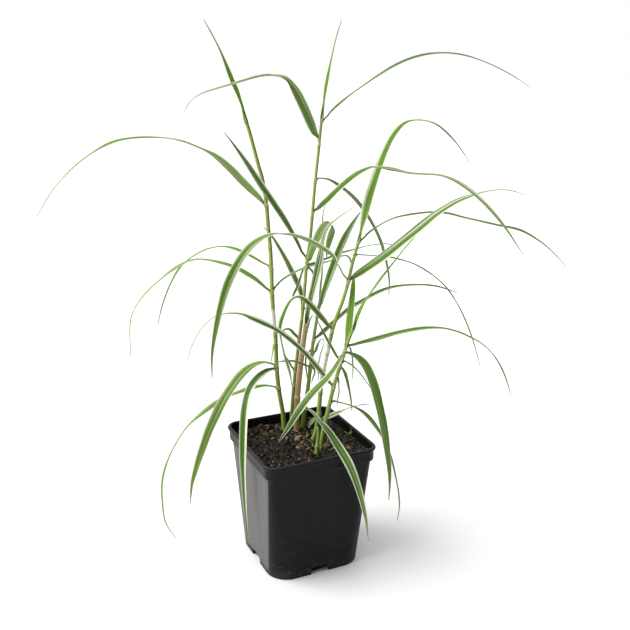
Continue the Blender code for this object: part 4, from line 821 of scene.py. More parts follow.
def seen_height(point):
    """The y at which the view shows a point."""
    offset = point - VIEWER
    return VIEW_SIZE / 2 + VIEW_FOCAL * offset.dot(VIEW_UP) / offset.dot(VIEW_BACK)


def pixel_size(point):
    """The real size of one of the view's pixels at a point's distance."""
    return -(point - VIEWER).dot(VIEW_BACK) / VIEW_FOCAL


def mixed(values, share):
    """A value this share of the way through evenly spaced values, along straight lines."""
    place = min(max(share, 0.0), 1.0) * (len(values) - 1)
    index = min(int(place), len(values) - 2)
    return values[index] + (values[index + 1] - values[index]) * (place - index)


def smooth_mixed(values, share):
    """As mixed, along a smooth curve through the values."""
    place = min(max(share, 0.0), 1.0) * (len(values) - 1)
    index = min(int(place), len(values) - 2)
    before = values[max(index - 1, 0)]
    first, second = values[index], values[index + 1]
    after = values[min(index + 2, len(values) - 1)]
    t = place - index
    return (
        first
        + (second - before) * (0.5 * t)
        + (before * 2 - first * 5 + second * 4 - after) * (0.5 * t * t)
        + (first * 3 - before - second * 3 + after) * (0.5 * t * t * t)
    )


def eased(value, low, high):
    """0 below low, 1 above high, and smooth between them."""
    t = min(max((value - low) / (high - low), 0.0), 1.0)
    return t * t * (3 - 2 * t)


def peak(away, width):
    """1 where away is 0, and falling off smoothly to either side."""
    return math.exp(-((away / width) ** 2))


def shares_along(points):
    """How far along its length each point of a line lies, from 0 to 1, and the length."""
    lengths = [0.0]
    for start, end in zip(points, points[1:]):
        lengths.append(lengths[-1] + (end - start).length)
    return [length / lengths[-1] for length in lengths], lengths[-1]


def refined(points, steps=8):
    """A smooth line through the points, with this many steps between each two."""
    count = (len(points) - 1) * steps
    return [smooth_mixed(points, step / count) for step in range(count + 1)]


def at_share(line, shares, share):
    """The point of a line at a share of its length."""
    for index in range(len(line) - 1):
        if share <= shares[index + 1]:
            span = shares[index + 1] - shares[index]
            return line[index].lerp(line[index + 1], (share - shares[index]) / max(span, 1e-9))
    return line[-1].copy()


def route_shares(route):
    """How far along its length in the view each point of a route lies."""
    return shares_along([Vector((place[0], place[1])) for place in route])[0]


def culm_line(culm):
    """The culm's middle line in space, from the soil to its top."""
    points = [
        placed(x, y, smooth_mixed(culm.depths, share) * MM)
        for (x, y), share in zip(culm.route, route_shares(culm.route))
    ]
    return refined(points)


def culm_radius(culm, share):
    """The culm's radius, in metres, at a share of its length."""
    return mixed((culm.base_diameter, culm.top_diameter), share) / 2 * MM


def culm_at(name, y):
    """(point, direction, radius) of a culm where the view shows it at this height."""
    line = culm_line(CULMS[name])
    shares, _ = shares_along(line)
    index = min(range(len(line)), key=lambda place: abs(seen_height(line[place]) - y))
    ahead = line[min(index + 1, len(line) - 1)]
    behind = line[max(index - 1, 0)]
    return line[index], (ahead - behind).normalized(), culm_radius(CULMS[name], shares[index])


def blade_share_width(share):
    """How wide a blade is, as a share of its full width, from its foot to its point."""
    rise = min(1.0, share / BLADE_OPEN_SHARE)
    opening = BLADE_FOOT + (1 - BLADE_FOOT) * math.sin(rise * math.pi / 2)
    tapered = max(0.0, (share - BLADE_TAPER_SHARE) / (1 - BLADE_TAPER_SHARE))
    closing = 1 - tapered**BLADE_TAPER_POWER
    return opening * max(closing, 0.0)


def blade_foot(blade):
    """Where a blade starts: on its culm's end, or against its culm's side."""
    x, y, _ = blade.route[0]
    point, direction, radius = culm_at(blade.culm, y)
    if blade.on_top:
        return culm_line(CULMS[blade.culm])[-1] + direction * GAP
    depth = point.dot(VIEW_TOWARDS)
    next_depth = smooth_mixed((depth / MM, *blade.depths), route_shares(blade.route)[1])
    outward = placed(*blade.route[1][:2], next_depth * MM) - point
    outward -= direction * outward.dot(direction)
    stand_off = radius * NODE_SWELLING + GAP + BLADE_THICKNESS
    along = direction * (placed(x, y, depth) - point).dot(direction)
    return point + along + outward.normalized() * stand_off


def blade_line(blade):
    """(points, shown widths) of the blade's middle line, in metres."""
    foot = blade_foot(blade)
    depths = (foot.dot(VIEW_TOWARDS) / MM, *blade.depths)
    shares = route_shares(blade.route)
    points = [foot] + [
        placed(x, y, smooth_mixed(depths, share) * MM)
        for (x, y, _), share in zip(blade.route[1:], shares[1:])
    ]
    shown = [width * pixel_size(point) for (_, _, width), point in zip(blade.route, points)]
    return points, shown


class Station(NamedTuple):
    """One place along a blade."""

    distance: float
    share: float
    point: Vector
    side: Vector
    up: Vector
    width: float


def blade_stations(blade):
    """Fine stations along a blade, foot to point, turned as its solid is."""
    points, shown = blade_line(blade)
    rightwards = blade.route[-1][0] > blade.route[0][0]
    line = refined(points)
    widths = refined([Vector((width, 0)) for width in shown])
    shares, length = shares_along(line)
    count = max(14, round(length / BLADE_STATION))
    reach = 0.5 * BLADE_REACH / length
    places = []
    for step in range(count + 1):
        share = step / count
        seen = at_share(widths, shares, share).x
        full = max(blade.width * MM * blade_share_width(share), abs(seen), 0.3 * MM)
        turn = math.acos(max(-1.0, min(1.0, seen / full))) * (1 if rightwards else -1)
        places.append((share, full, turn))
    stations = []
    for step, (share, full, _) in enumerate(places):
        near = places[max(step - 2, 0) : step + 3]
        turn = sum(place[2] for place in near) / len(near)
        point = at_share(line, shares, share)
        ahead = at_share(line, shares, min(share + reach, 1))
        behind = at_share(line, shares, max(share - reach, 0))
        along = (ahead - behind).normalized()
        across = along.cross((VIEWER - point).normalized()).normalized()
        facing = across.cross(along)
        side = across * math.cos(turn) + facing * math.sin(turn)
        up = facing * math.cos(turn) - across * math.sin(turn)
        stations.append(Station(share * length, share, point, side, up, full))
    return stations


# Meshes


class Shape:
    """Points, faces and painted values of a piece while it is being built."""

    def __init__(self, *paints):
        self.points = []
        self.faces = []
        self.maps = []
        self.sharp = set()
        self.paints = {paint: [] for paint in paints}

    def point(self, place, *values):
        """Adds a point and its value for each paint, and gives its number."""
        self.points.append(tuple(place))
        for stored, value in zip(self.paints.values(), values):
            stored.append(tuple(value))
        return len(self.points) - 1

    def face(self, corners, spots=None):
        self.faces.append(tuple(corners))
        self.maps.append(spots or [(0.999, 0.001)] * len(corners))

    def tube(self, rings, sharp_at=()):
        """Closes rings of (place, *values) into a tube, and lays its skin out in even strips."""
        count = len(rings[0])
        numbers = [[self.point(*spot) for spot in ring] for ring in rings]
        around = sum(
            (Vector(rings[len(rings) // 2][index - 1][0]) - Vector(spot[0])).length
            for index, spot in enumerate(rings[len(rings) // 2])
        )
        length = sum((Vector(a[0][0]) - Vector(b[0][0])).length for a, b in zip(rings, rings[1:]))
        strips = max(1, round(math.sqrt(length / max(around, 1e-6))))
        per_strip = math.ceil((len(rings) - 1) / strips)
        for step in range(len(rings) - 1):
            strip, place = divmod(step, per_strip)
            for index in range(count):
                after = (index + 1) % count
                low, high = index / count, (index + 1) / count
                spots = [
                    (
                        0.02 + 0.96 * (place + ahead) / per_strip,
                        (strip + 0.04 + 0.92 * rise) / strips,
                    )
                    for ahead, rise in ((0, low), (0, high), (1, high), (1, low))
                ]
                lower, upper = numbers[step], numbers[step + 1]
                self.face((lower[index], lower[after], upper[after], upper[index]), spots)
            for index in sharp_at:
                self.sharp.add((numbers[step][index], numbers[step + 1][index]))
        self.face(numbers[0][::-1])
        self.face(numbers[-1])

    def made(self, name, *finishes, mapped=True):
        """The object, smooth, with its paints as attributes."""
        mesh = bpy.data.meshes.new(name)
        mesh.from_pydata(self.points, [], self.faces)
        for paint, values in self.paints.items():
            layer = mesh.attributes.new(paint, "FLOAT_VECTOR", "POINT")
            layer.data.foreach_set("vector", [number for value in values for number in value])
        if mapped:
            layer = mesh.uv_layers.new(name="OFBake")
            layer.data.foreach_set("uv", [n for spots in self.maps for spot in spots for n in spot])
        mesh.polygons.foreach_set("use_smooth", [True] * len(mesh.polygons))
        if self.sharp:
            pairs = {tuple(sorted(pair)) for pair in self.sharp}
            mesh.edges.foreach_set(
                "use_edge_sharp", [tuple(sorted(edge.vertices)) in pairs for edge in mesh.edges]
            )
        for finish in finishes:
            mesh.materials.append(finish)
        mesh.validate()
        shape = bmesh.new()
        shape.from_mesh(mesh)
        bmesh.ops.recalc_face_normals(shape, faces=shape.faces)
        shape.to_mesh(mesh)
        shape.free()
        made = bpy.data.objects.new(name, mesh)
        bpy.context.scene.collection.objects.link(made)
        return made


def dressed(piece, slot, *nodes):
    """A finished piece: it rides on the plant's one body and stands for its nodes."""
    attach(piece, "root")
    if nodes:
        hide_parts(*nodes)
    return piece


# Finishes


class Value:
    """A shader socket that holds a number and takes part in arithmetic."""

    def __init__(self, finish, socket):
        self.finish = finish
        self.socket = socket

    def math(self, operation, *terms):
        return self.finish.number("ShaderNodeMath", {"operation": operation}, dict(enumerate(terms)))

    def __add__(self, other):
        return self.math("ADD", self, other)

    def __sub__(self, other):
        return self.math("SUBTRACT", self, other)

    def __rsub__(self, other):
        return self.math("SUBTRACT", other, self)

    def __mul__(self, other):
        return self.math("MULTIPLY", self, other)

    def __abs__(self):
        return self.math("ABSOLUTE", self)

    def wave(self):
        return self.math("SINE", self)

    def at_least(self, other):
        return self.math("MAXIMUM", self, other)

    def at_most(self, other):
        return self.math("MINIMUM", self, other)

    def between(self, low, high):
        """0 at low, 1 at high and smooth between; low may be above high."""
        ends = (low, high, 0.0, 1.0) if low < high else (high, low, 1.0, 0.0)
        names = ("From Min", "From Max", "To Min", "To Max")
        return self.finish.number(
            "ShaderNodeMapRange",
            {"interpolation_type": "SMOOTHSTEP"},
            {"Value": self, **dict(zip(names, ends))},
        )

    __radd__ = __add__
    __rmul__ = __mul__


class Finish:
    """A material, or the world's surface, built from nodes."""

    def __init__(self, owner):
        owner.use_nodes = True
        self.owner = owner
        self.tree = owner.node_tree
        self.tree.nodes.clear()

    def add(self, kind, settings=None, inputs=None):
        """A node of this type: its settings first, then its sockets' values and links."""
        node = self.tree.nodes.new(kind)
        for name, value in (settings or {}).items():
            setattr(node, name, value)
        for name, value in (inputs or {}).items():
            value = value.socket if isinstance(value, Value) else value
            if isinstance(value, bpy.types.NodeSocket):
                self.tree.links.new(value, node.inputs[name])
            else:
                node.inputs[name].default_value = value
        return node

    def number(self, kind, settings, inputs):
        return Value(self, self.add(kind, settings, inputs).outputs[0])

    def painted(self, name):
        """The three numbers of a painted attribute."""
        source = self.add("ShaderNodeAttribute", {"attribute_name": name})
        return self.parts(source.outputs["Vector"])

    def parts(self, vector):
        split = self.add("ShaderNodeSeparateXYZ", None, {0: vector})
        return [Value(self, socket) for socket in split.outputs]

    def vector(self, x, y, z):
        return self.add("ShaderNodeCombineXYZ", None, {0: x, 1: y, 2: z}).outputs[0]

    def place(self):
        """Where the surface is, in metres."""
        return self.add("ShaderNodeTexCoord").outputs["Object"]

    def grain(self, vector, scale, detail=2.0, roughness=0.5):
        return self.number(
            "ShaderNodeTexNoise",
            None,
            {"Vector": vector, "Scale": scale, "Detail": detail, "Roughness": roughness},
        )

    def cells(self, vector, scale):
        """How far the surface is from the nearest of scattered points."""
        return self.number("ShaderNodeTexVoronoi", None, {"Vector": vector, "Scale": scale})

    def blend(self, mask, base, over):
        """The base colour where the mask is 0, and the other where it is 1."""
        base, over = (
            c if isinstance(c, bpy.types.NodeSocket) else (*c, 1.0) for c in (base, over)
        )
        node = self.add("ShaderNodeMix", {"data_type": "RGBA"}, {0: mask, 6: base, 7: over})
        return node.outputs[2]

    def bump(self, height, distance, strength=1.0):
        inputs = {"Height": height, "Distance": distance, "Strength": strength}
        return self.add("ShaderNodeBump", None, inputs).outputs[0]

    def surface(self, through=None, share=0.0, **inputs):
        """The Principled surface, with light let through where a colour is given."""
        inputs = {name.replace("_", " "): value for name, value in inputs.items()}
        shader = self.add("ShaderNodeBsdfPrincipled", None, inputs).outputs[0]
        if through:
            lit = self.add("ShaderNodeBsdfTranslucent", None, {"Color": (*through, 1.0)}).outputs[0]
            shader = self.add("ShaderNodeMixShader", None, {0: share, 1: shader, 2: lit}).outputs[0]
        self.add("ShaderNodeOutputMaterial", None, {0: shader})
        return self.owner


def blade_finish(plant):
    """Green blade with cream margins, fine veins and a straw collar."""
    made = bpy.data.materials.get("ribbon_blade")
    if made:
        return made
    blade = Finish(bpy.data.materials.new("ribbon_blade"))
    across, share, seed = blade.painted("place")
    left, right, tone = blade.painted("marks")
    under, warm, foot = blade.painted("faces")
    streaks, dry, length = blade.painted("wear")

    wander = blade.grain(blade.vector(across * 0.8, length * 22, seed), 1.0, 1.0) - 0.5
    spot = across + wander * 0.16
    wide = blade.grain(blade.vector(spot * 3.4, length * 4, seed * 3), 1.0, 1.0)
    fine = blade.grain(blade.vector(spot * 9, length * 6, seed * 7), 1.0, 1.5)
    from_left = (spot + 1) * 0.5 + (fine - 0.5) * 0.24
    from_right = (1 - spot) * 0.5 + (fine - 0.5) * 0.24
    margin = (left - from_left).between(-0.05, 0.04)
    margin = margin.at_least((right - from_right).between(-0.05, 0.04))
    stripes = blade.grain(blade.vector(spot * 2.3 + seed, length * 5, seed * 11), 1.0, 1.0)
    streak = stripes.between(0.58, 0.66).at_least(fine.between(0.62, 0.70) * 0.8) * streaks * 2.4
    cream = (margin * 0.92).at_least(streak.at_most(0.8))
    veins = (across * 34 + fine * 3).wave() * 0.5 + 0.5
    rib = abs(across).between(0.09, 0.02)

    core = abs(spot + (wide - 0.5) * 0.8).between(0.62, 0.30)
    shade = tone + 0.20 - core * 0.40 + (wide - 0.5) * 4.0 + (fine - 0.5) * 2.6
    green = blade.blend(shade, plant.dark_green, plant.pale_green)
    green = blade.blend(warm, green, plant.fresh_green)
    green = blade.blend(under * (0.75 - warm * 0.7), green, plant.underside)
    green = blade.blend(veins * 0.25, green, plant.dark_green)
    green = blade.blend(rib * 0.3, green, plant.pale_green)
    colour = blade.blend(cream, green, plant.cream)
    ends = share.between(0.93, 1.0) * 0.5
    flecks = blade.grain(blade.vector(across * 4, length * 260, seed * 5), 1.0, 3.0)
    colour = blade.blend(foot * 0.7, colour, (0.47, 0.50, 0.22))
    colour = blade.blend(dry.at_least(ends).at_most(0.92), colour, plant.straw)
    colour = blade.blend(flecks.between(0.66, 0.74) * 0.35, colour, plant.straw)
    relief = veins * 0.5 + wide * 0.6 - rib * 0.6
    return blade.surface(
        through=(0.36, 0.55, 0.05),
        share=plant.see_through,
        Base_Color=colour,
        Roughness=0.46 + fine * 0.16 + under * 0.12,
        Normal=blade.bump(relief, 0.12 * MM, 0.7),
        Specular_IOR_Level=0.24,
    )


def culm_finish(name, colour, plant):
    """A culm's skin: lengthwise streaks, cream collars with a dark line, pale and dry sheaths, and
    painted shade on the side turned away from the key light.
    """
    culm = Finish(bpy.data.materials.new(name))
    cosine, sine, height = culm.painted("place")
    ring, line, lip = culm.painted("nodes")
    pale, bright, dry = culm.painted("sheaths")
    streaks = culm.grain(culm.vector(cosine * 5, sine * 5, height * 24), 1.0, 2.0)
    blotches = culm.grain(culm.vector(cosine, sine, height * 90), 1.0, 3.0)
    turned = culm.parts(culm.add("ShaderNodeNewGeometry").outputs["Normal"])
    # painted shade: the side of the culm that faces away from the key light is painted darker green
    painted_side_shade = (turned[0] * VIEW_ASIDE.x + turned[1] * VIEW_ASIDE.y).between(-0.25, 0.85)
    skin = culm.blend((streaks - 0.35) * 0.9, tuple(colour), plant.dark_green)
    skin = culm.blend(blotches.between(0.52, 0.72) * 0.45, skin, plant.culm_brown)
    skin = culm.blend(bright * 0.85, skin, plant.culm_pale)
    skin = culm.blend(painted_side_shade * (0.8 - dry * 0.5), skin, plant.dark_green)
    skin = culm.blend(pale * (0.75 + streaks * 0.4), skin, (0.66, 0.60, 0.50))
    skin = culm.blend(dry * (0.6 + streaks * 0.6), skin, plant.culm_brown)
    skin = culm.blend(ring * (0.35 + blotches * 0.6), skin, (0.45, 0.44, 0.19))
    skin = culm.blend(line * 0.55, skin, (0.07, 0.055, 0.02))
    skin = culm.blend(lip * 0.8, skin, plant.cream)
    return culm.surface(
        Base_Color=skin,
        Roughness=0.42 + streaks * 0.2 + dry * 0.2,
        Normal=culm.bump(streaks + blotches * 0.5, 0.15 * MM, 0.6),
        Specular_IOR_Level=0.4,
    )


def plastic_finish(pot):
    """Black plastic: brushed grey with a painted sheen on its lit left side, a painted highlight along
    the rim's top, dust, fine scuffs and soil at its foot.
    """
    skin = Finish(bpy.data.materials.new("black_plastic"))
    place = skin.place()
    x, y, z = skin.parts(place)
    normal = skin.add("ShaderNodeNewGeometry").outputs["Normal"]
    turned = skin.parts(normal)[0]
    cloud = skin.grain(place, 34.0, 4.0, 0.6)
    brushed = skin.grain(skin.vector(x * 260, y * 260, z * 16), 1.0, 3.0, 0.6)
    scratches = skin.grain(skin.vector(x * 40, y * 40, z * 900), 1.0, 2.0, 0.6)
    specks = skin.cells(place, 330.0)
    chance = skin.grain(place, 120.0, 2.0)
    # painted sheen: the left face, turned towards the key light, is painted brushed grey
    left = (turned * -1).between(0.95, 0.997) * x.between(-0.038, -0.042)
    left *= z.between(0.1068, 0.1050).at_least(0.14)
    painted_left_sheen = left * (0.62 + brushed * 0.45 + cloud * 0.25)
    scuffed = (scratches.between(0.63, 0.72) * cloud.between(0.45, 0.62)) * 0.16
    mottled = cloud.between(0.35, 0.75) * 0.02
    # painted highlight: the top of the rim is painted a little paler
    painted_rim_highlight = z.between(0.1183, 0.1197) * 0.10
    dust_and_sheen = (painted_left_sheen + scuffed + mottled + painted_rim_highlight).at_most(1.0)
    speck = specks.between(0.16, 0.06) * chance.between(0.50, 0.60)
    foot = z.between(0.016, 0.0) * cloud.between(0.35, 0.62)
    grime = skin.grain(place, 240.0, 4.0).between(0.54, 0.66) * z.between(0.024, 0.004)
    inner = z.between(0.1085, 0.1125) * z.between(0.1185, 0.1125)
    inside = (abs(x).between(0.0515, 0.0503)) * (abs(y).between(0.0515, 0.0503))
    soiled = (inner * inside) * skin.grain(place, 300.0, 3.0).between(0.42, 0.62) * 0.7
    colour = skin.blend(dust_and_sheen, pot.plastic, pot.dust_and_sheen)
    colour = skin.blend(speck * 0.55, colour, (0.16, 0.11, 0.07))
    colour = skin.blend(foot * 0.22, colour, (0.11, 0.085, 0.065))
    colour = skin.blend((grime * 0.45).at_least(soiled * 0.5), colour, (0.085, 0.055, 0.035))
    ledge = abs(z - 0.0132).between(0.0006, 0.0)
    relief = cloud * 0.6 + brushed * 0.15 + scratches * 0.1 + speck * 0.4 - ledge * 0.8
    return skin.surface(
        Base_Color=colour,
        Roughness=pot.gloss_roughness + dust_and_sheen * 0.25 + (cloud - 0.5) * 0.25 + foot * 0.2,
        Normal=skin.bump(relief, 0.25 * MM, 0.55),
        Specular_IOR_Level=0.13,
    )


def soil_finish(soil):
    """Damp dark soil with drier flecks."""
    ground = Finish(bpy.data.materials.new("damp_soil"))
    place = ground.place()
    lumps = ground.grain(place, 190.0, 4.0, 0.62)
    grit = ground.grain(place, 900.0, 3.0, 0.6)
    bits = ground.cells(place, 620.0)
    dry = (lumps * 0.6 + grit * 0.4).between(0.50, 0.60)
    colour = ground.blend(dry * 0.85, soil.damp, soil.dry)
    chips = bits.between(0.18, 0.06) * lumps.between(0.52, 0.6) * 0.6
    colour = ground.blend(chips, colour, (0.26, 0.17, 0.10))
    return ground.surface(
        Base_Color=colour,
        Roughness=0.62 + lumps * 0.35,
        Normal=ground.bump(lumps + grit * 0.5, 1.2 * MM, 1.0),
        Specular_IOR_Level=0.3,
    )


def crumb_finish(soil):
    """Crumbs, chips and moss, each in the shade painted on it."""
    crumb = Finish(bpy.data.materials.new("soil_crumbs"))
    shade, tan, green = crumb.painted("tone")
    grit = crumb.grain(crumb.place(), 1100.0, 3.0, 0.65)
    colour = crumb.blend(shade + (grit - 0.5) * 0.6, soil.damp, soil.dry)
    colour = crumb.blend(tan * (0.7 + grit * 0.6), colour, (0.42, 0.27, 0.17))
    colour = crumb.blend(tan.between(1.4, 1.6), colour, (0.62, 0.55, 0.42))
    colour = crumb.blend(green, colour, crumb.blend(grit, (0.04, 0.07, 0.012), (0.16, 0.24, 0.04)))
    colour = crumb.blend(green.between(1.4, 1.6), colour, (0.27, 0.37, 0.08))
    return crumb.surface(
        Base_Color=colour,
        Roughness=0.7 + grit * 0.25,
        Normal=crumb.bump(grit, 0.5 * MM, 0.8),
        Specular_IOR_Level=0.3,
    )


# Blades


def blade_ring(station, marks, seed, plant, dry):
    """Points of one closed section: the upper side from left to right, then the underside back."""
    ring = []
    keel = BLADE_KEEL * station.width / 2
    thick = min(BLADE_THICKEST, 0.12 * station.width + 0.06 * MM)
    wave = plant.edge_wave * min(1.0, station.width / (6 * MM)) * eased(station.distance, 0, 0.02)
    for face, order in ((1, range(BLADE_COLUMNS + 1)), (-1, range(BLADE_COLUMNS - 1, 0, -1))):
        for column in order:
            s = 2 * column / BLADE_COLUMNS - 1
            edge = abs(s) ** 3 * (1 if s > 0 else -1)
            lift = -keel * (1 - abs(s) ** 1.3)
            phase = station.distance / EDGE_WAVE_LENGTH + seed * 9 + (2.1 if s > 0 else 0)
            lift += wave * abs(edge) * math.sin(phase)
            lift += face * thick / 2 * (1 - s * s)
            if face < 0:
                lift -= 0.22 * thick * peak(s, 0.16)
            place = station.point + station.side * (s * station.width / 2) + station.up * lift
            under = 1.0 if face < 0 else 0.0
            ring.append((place, (s, station.share, seed), marks[:3], [under, marks[3], 0.0],
                         (marks[4], dry, station.distance)))
    return ring


def blade_shape(name, blade, plant):
    """Rings of a blade: its collar round the culm, its foot, and the blade to its point."""
    marks = MARKS.get(name, PLAIN_MARKS)
    seed = (sum(ord(letter) * (index + 3) for index, letter in enumerate(name)) % 997) / 99.7
    stations = blade_stations(blade)
    centre, direction, radius = culm_at(blade.culm, blade.route[0][1])
    first = stations[0]
    if blade.on_top:
        centre = first.point
        hold = radius + 0.12 * MM
        outward = first.up * -1
        spread, opened = 2.75, 14 * MM
    else:
        centre = centre + direction * (first.point - centre).dot(direction)
        hold = radius * NODE_SWELLING + 0.22 * MM
        outward = first.point - centre
        spread, opened = 1.9, 5 * MM
    outward = (outward - direction * outward.dot(direction)).normalized()
    tangent = direction.cross(outward)
    if tangent.dot(first.side) < 0:
        tangent = -tangent
    inner = -1 if first.up.dot(outward) < 0 else 1

    def wrapped(ring, level, reach, grown, foot):
        """The ring's points laid round the culm instead."""
        laid = []
        for index, (_, place, paint, faces, wear) in enumerate(ring):
            angle = place[0] * reach
            normal = outward * math.cos(angle) + tangent * math.sin(angle)
            face = 1 if index <= BLADE_COLUMNS else -1
            depth = 0.16 * MM * (1 - place[0] ** 4) * face * inner
            spot = centre + direction * level + normal * (hold + grown + depth)
            laid.append((spot, place, paint, [faces[0], faces[1], foot], wear))
        return laid

    rings = []
    plain = [blade_ring(station, marks, seed, plant, 0.0) for station in stations]
    if not blade.on_top:
        rings.append(wrapped(plain[0], -1.5 * MM, spread * 1.25, 0.05 * MM, 0.75))
        rings.append(wrapped(plain[0], -0.7 * MM, spread * 1.1, 0.10 * MM, 1.0))
    else:
        rings.append(wrapped(plain[0], -2.5 * MM, spread, 0.0, 0.3))
    for station, ring in zip(stations, plain):
        share = eased(station.distance, 0, opened)
        if share < 1:
            level = min(station.distance, opened) * (0.9 if blade.on_top else 0.45)
            foot = math.exp(-station.distance / (1.6 * MM)) * (0.5 if blade.on_top else 1.0)
            held = wrapped(ring, level, spread * (1 - 0.45 * share), 0.12 * MM, foot)
            ring = [
                (near[0].lerp(far[0], share), far[1], far[2], near[3], far[4])
                for near, far in zip(held, ring)
            ]
        rings.append(ring)
    return rings


def build_blade(name, plant):
    shape = Shape("place", "marks", "faces", "wear")
    shape.tube(blade_shape(name, BLADES[name], plant), sharp_at=(0, BLADE_COLUMNS))
    piece = shape.made(name + "_blade", blade_finish(plant))
    dressed(piece, "spear" if name.startswith("spear") else "blade", name)


# Culms


def culm_shape(name, culm):
    """Rings of a culm, swollen and collared at its nodes, from below the soil to its top."""
    line = culm_line(culm)
    shares, length = shares_along(line)
    nodes = []
    for node in culm.nodes:
        nearest = min(range(len(line)), key=lambda index: abs(seen_height(line[index]) - node))
        nodes.append(shares[nearest] * length)
    foot = line[0]
    clear = SOIL_HEIGHT + 2.5 * MM
    count = round(length / CULM_STATION)
    rings = []
    buried = SOIL_HEIGHT - 11 * MM
    stretches = [(Vector((foot.x, foot.y, level)), 0.0) for level in (buried, clear)]
    for step in range(count + 1):
        point = at_share(line, shares, step / count)
        if point.z > clear + 1.3 * MM:
            stretches.append((point, step / count))
    for index, (point, share) in enumerate(stretches):
        ahead = stretches[min(index + 1, len(stretches) - 1)][0]
        behind = stretches[max(index - 1, 0)][0]
        along = (ahead - behind).normalized()
        east = along.cross(Vector((0, 1, 0))).normalized()
        north = along.cross(east)
        height = share * length
        radius = culm_radius(culm, share)
        away = min((height - node for node in nodes), key=abs)
        ring_mask = peak(away, 0.9 * MM)
        line_mask = peak(away + 1.9 * MM, 0.6 * MM)
        lip_mask = peak(away - 1.7 * MM, 0.5 * MM) * 0.5
        swell = 1 + (NODE_SWELLING - 1) * peak(away, 1.1 * MM)
        swell += 0.06 * eased(away, -9 * MM, -1 * MM) * (away < 0) - 0.05 * peak(away - 3 * MM, 1.6 * MM)
        seen = seen_height(point)
        kinds = {"pale": 0.0, "bright": 0.0, "dry": 0.0}
        for top, bottom, kind in SHEATHS.get(name, ()):
            within = eased(seen, top - 1, top + 2) * eased(-seen, -bottom - 2, -bottom + 1)
            kinds[kind] = max(kinds[kind], within)
        ring = []
        for side in range(CULM_SIDES):
            angle = 2 * math.pi * side / CULM_SIDES
            ripple = 1 + 0.02 * math.sin(angle * 3 + height * 60)
            normal = east * math.cos(angle) + north * math.sin(angle)
            ring.append((
                point + normal * (radius * swell * ripple),
                (math.cos(angle), math.sin(angle), height),
                (ring_mask, line_mask, lip_mask),
                tuple(kinds.values()),
            ))
        rings.append(ring)
    return rings


def build_culms(plant):
    finishes = {}
    for name, culm in CULMS.items():
        if culm.slot not in finishes:
            finishes[culm.slot] = culm_finish(culm.slot, getattr(plant, culm.slot), plant)
        shape = Shape("place", "nodes", "sheaths")
        shape.tube(culm_shape(name, culm))
        dressed(shape.made(name + "_stem", finishes[culm.slot]), culm.slot, name)


# Pot


def rounded_square(width, corner, height, corner_steps=10, side_steps=1):
    """The points of a square with round corners, at a height, from corner to corner."""
    ring = []
    inner = width / 2 - corner
    for quarter in range(4):
        start = quarter * math.pi / 2
        spin = Matrix.Rotation(start, 3, "Z")
        middle = spin @ Vector((inner, inner, height))
        for step in range(corner_steps + 1):
            angle = start + step / corner_steps * math.pi / 2
            ring.append(middle + Vector((math.cos(angle), math.sin(angle), 0)) * corner)
        for step in range(1, side_steps):
            along = inner - 2 * inner * step / side_steps
            ring.append(spin @ Vector((along, width / 2, height)))
    return ring


def lofted(rings):
    """A closed bmesh through rings that have the same number of points."""
    shape = bmesh.new()
    loops = [[shape.verts.new(point) for point in ring] for ring in rings]
    count = len(loops[0])
    for lower, upper in zip(loops, loops[1:]):
        for index in range(count):
            after = (index + 1) % count
            shape.faces.new((lower[index], lower[after], upper[after], upper[index]))
    shape.faces.new(loops[0][::-1])
    shape.faces.new(loops[-1])
    bmesh.ops.recalc_face_normals(shape, faces=shape.faces)
    return shape


def as_object(name, shape):
    mesh = bpy.data.meshes.new(name)
    shape.to_mesh(mesh)
    shape.free()
    made = bpy.data.objects.new(name, mesh)
    bpy.context.scene.collection.objects.link(made)
    return made


def corner_at(width):
    """The radius of the pot's corners where its upper part has this width."""
    return RIM_CORNER - (RIM_WIDTH - width) / 2


def wall_section(height, clearance=0.0):
    """(width, corner) of the wall's inside at a height."""
    step = (SHOULDER_WIDTH, corner_at(SHOULDER_WIDTH))
    band = (BAND_WIDTH, corner_at(BAND_WIDTH))
    climbed = (height - SHOULDER_HEIGHT - INNER_STEP_RISE - clearance) / BAND_SLOPE
    if climbed > 0:
        low, high, share = step, band, climbed
    else:
        low, high, share = (BASE_WIDTH, BASE_CORNER), step, height / SHOULDER_HEIGHT
    inset = WALL + clearance
    return mixed((low[0], high[0]), share) - 2 * inset, mixed((low[1], high[1]), share) - inset


def pot_sections(pot):
    """(width, corner, height) of the outside: foot, body, rounded step, band and beaded lip."""
    lower = (BASE_WIDTH, BASE_CORNER)
    upper = (SHOULDER_WIDTH, corner_at(SHOULDER_WIDTH))
    sections = [(BASE_WIDTH - 0.8 * MM, BASE_CORNER - 0.4 * MM, 0), (*lower, 0.5 * MM)]
    for step in range(1, 12):
        share = step / 12
        width, corner = (mixed(ends, share) for ends in zip(lower, upper))
        sections.append((width, corner, share * SHOULDER_HEIGHT))
    for step in range(9):
        turn = step / 8
        width = mixed((SHOULDER_WIDTH, BAND_WIDTH), eased(turn, 0, 1))
        level = SHOULDER_HEIGHT - 0.6 * MM + turn * (BAND_SLOPE + 0.9 * MM)
        sections.append((width, corner_at(width), level))
    lip_bottom = POT_HEIGHT - LIP_HEIGHT
    band_corner = corner_at(BAND_WIDTH)
    sections.append((BAND_WIDTH, band_corner, POT_HEIGHT - BAND_HEIGHT + 3 * MM))
    sections.append((BAND_WIDTH, band_corner, lip_bottom - 0.3 * MM))
    bead = pot.lip_rounding
    for step in range(11):
        angle = math.radians(-85 + 175 * step / 10)
        inset = bead * (1 - math.cos(angle))
        level = POT_HEIGHT - LIP_HEIGHT / 2 * (1 - math.sin(angle))
        sections.append((RIM_WIDTH - 2 * inset, RIM_CORNER - inset, level))
    return sections


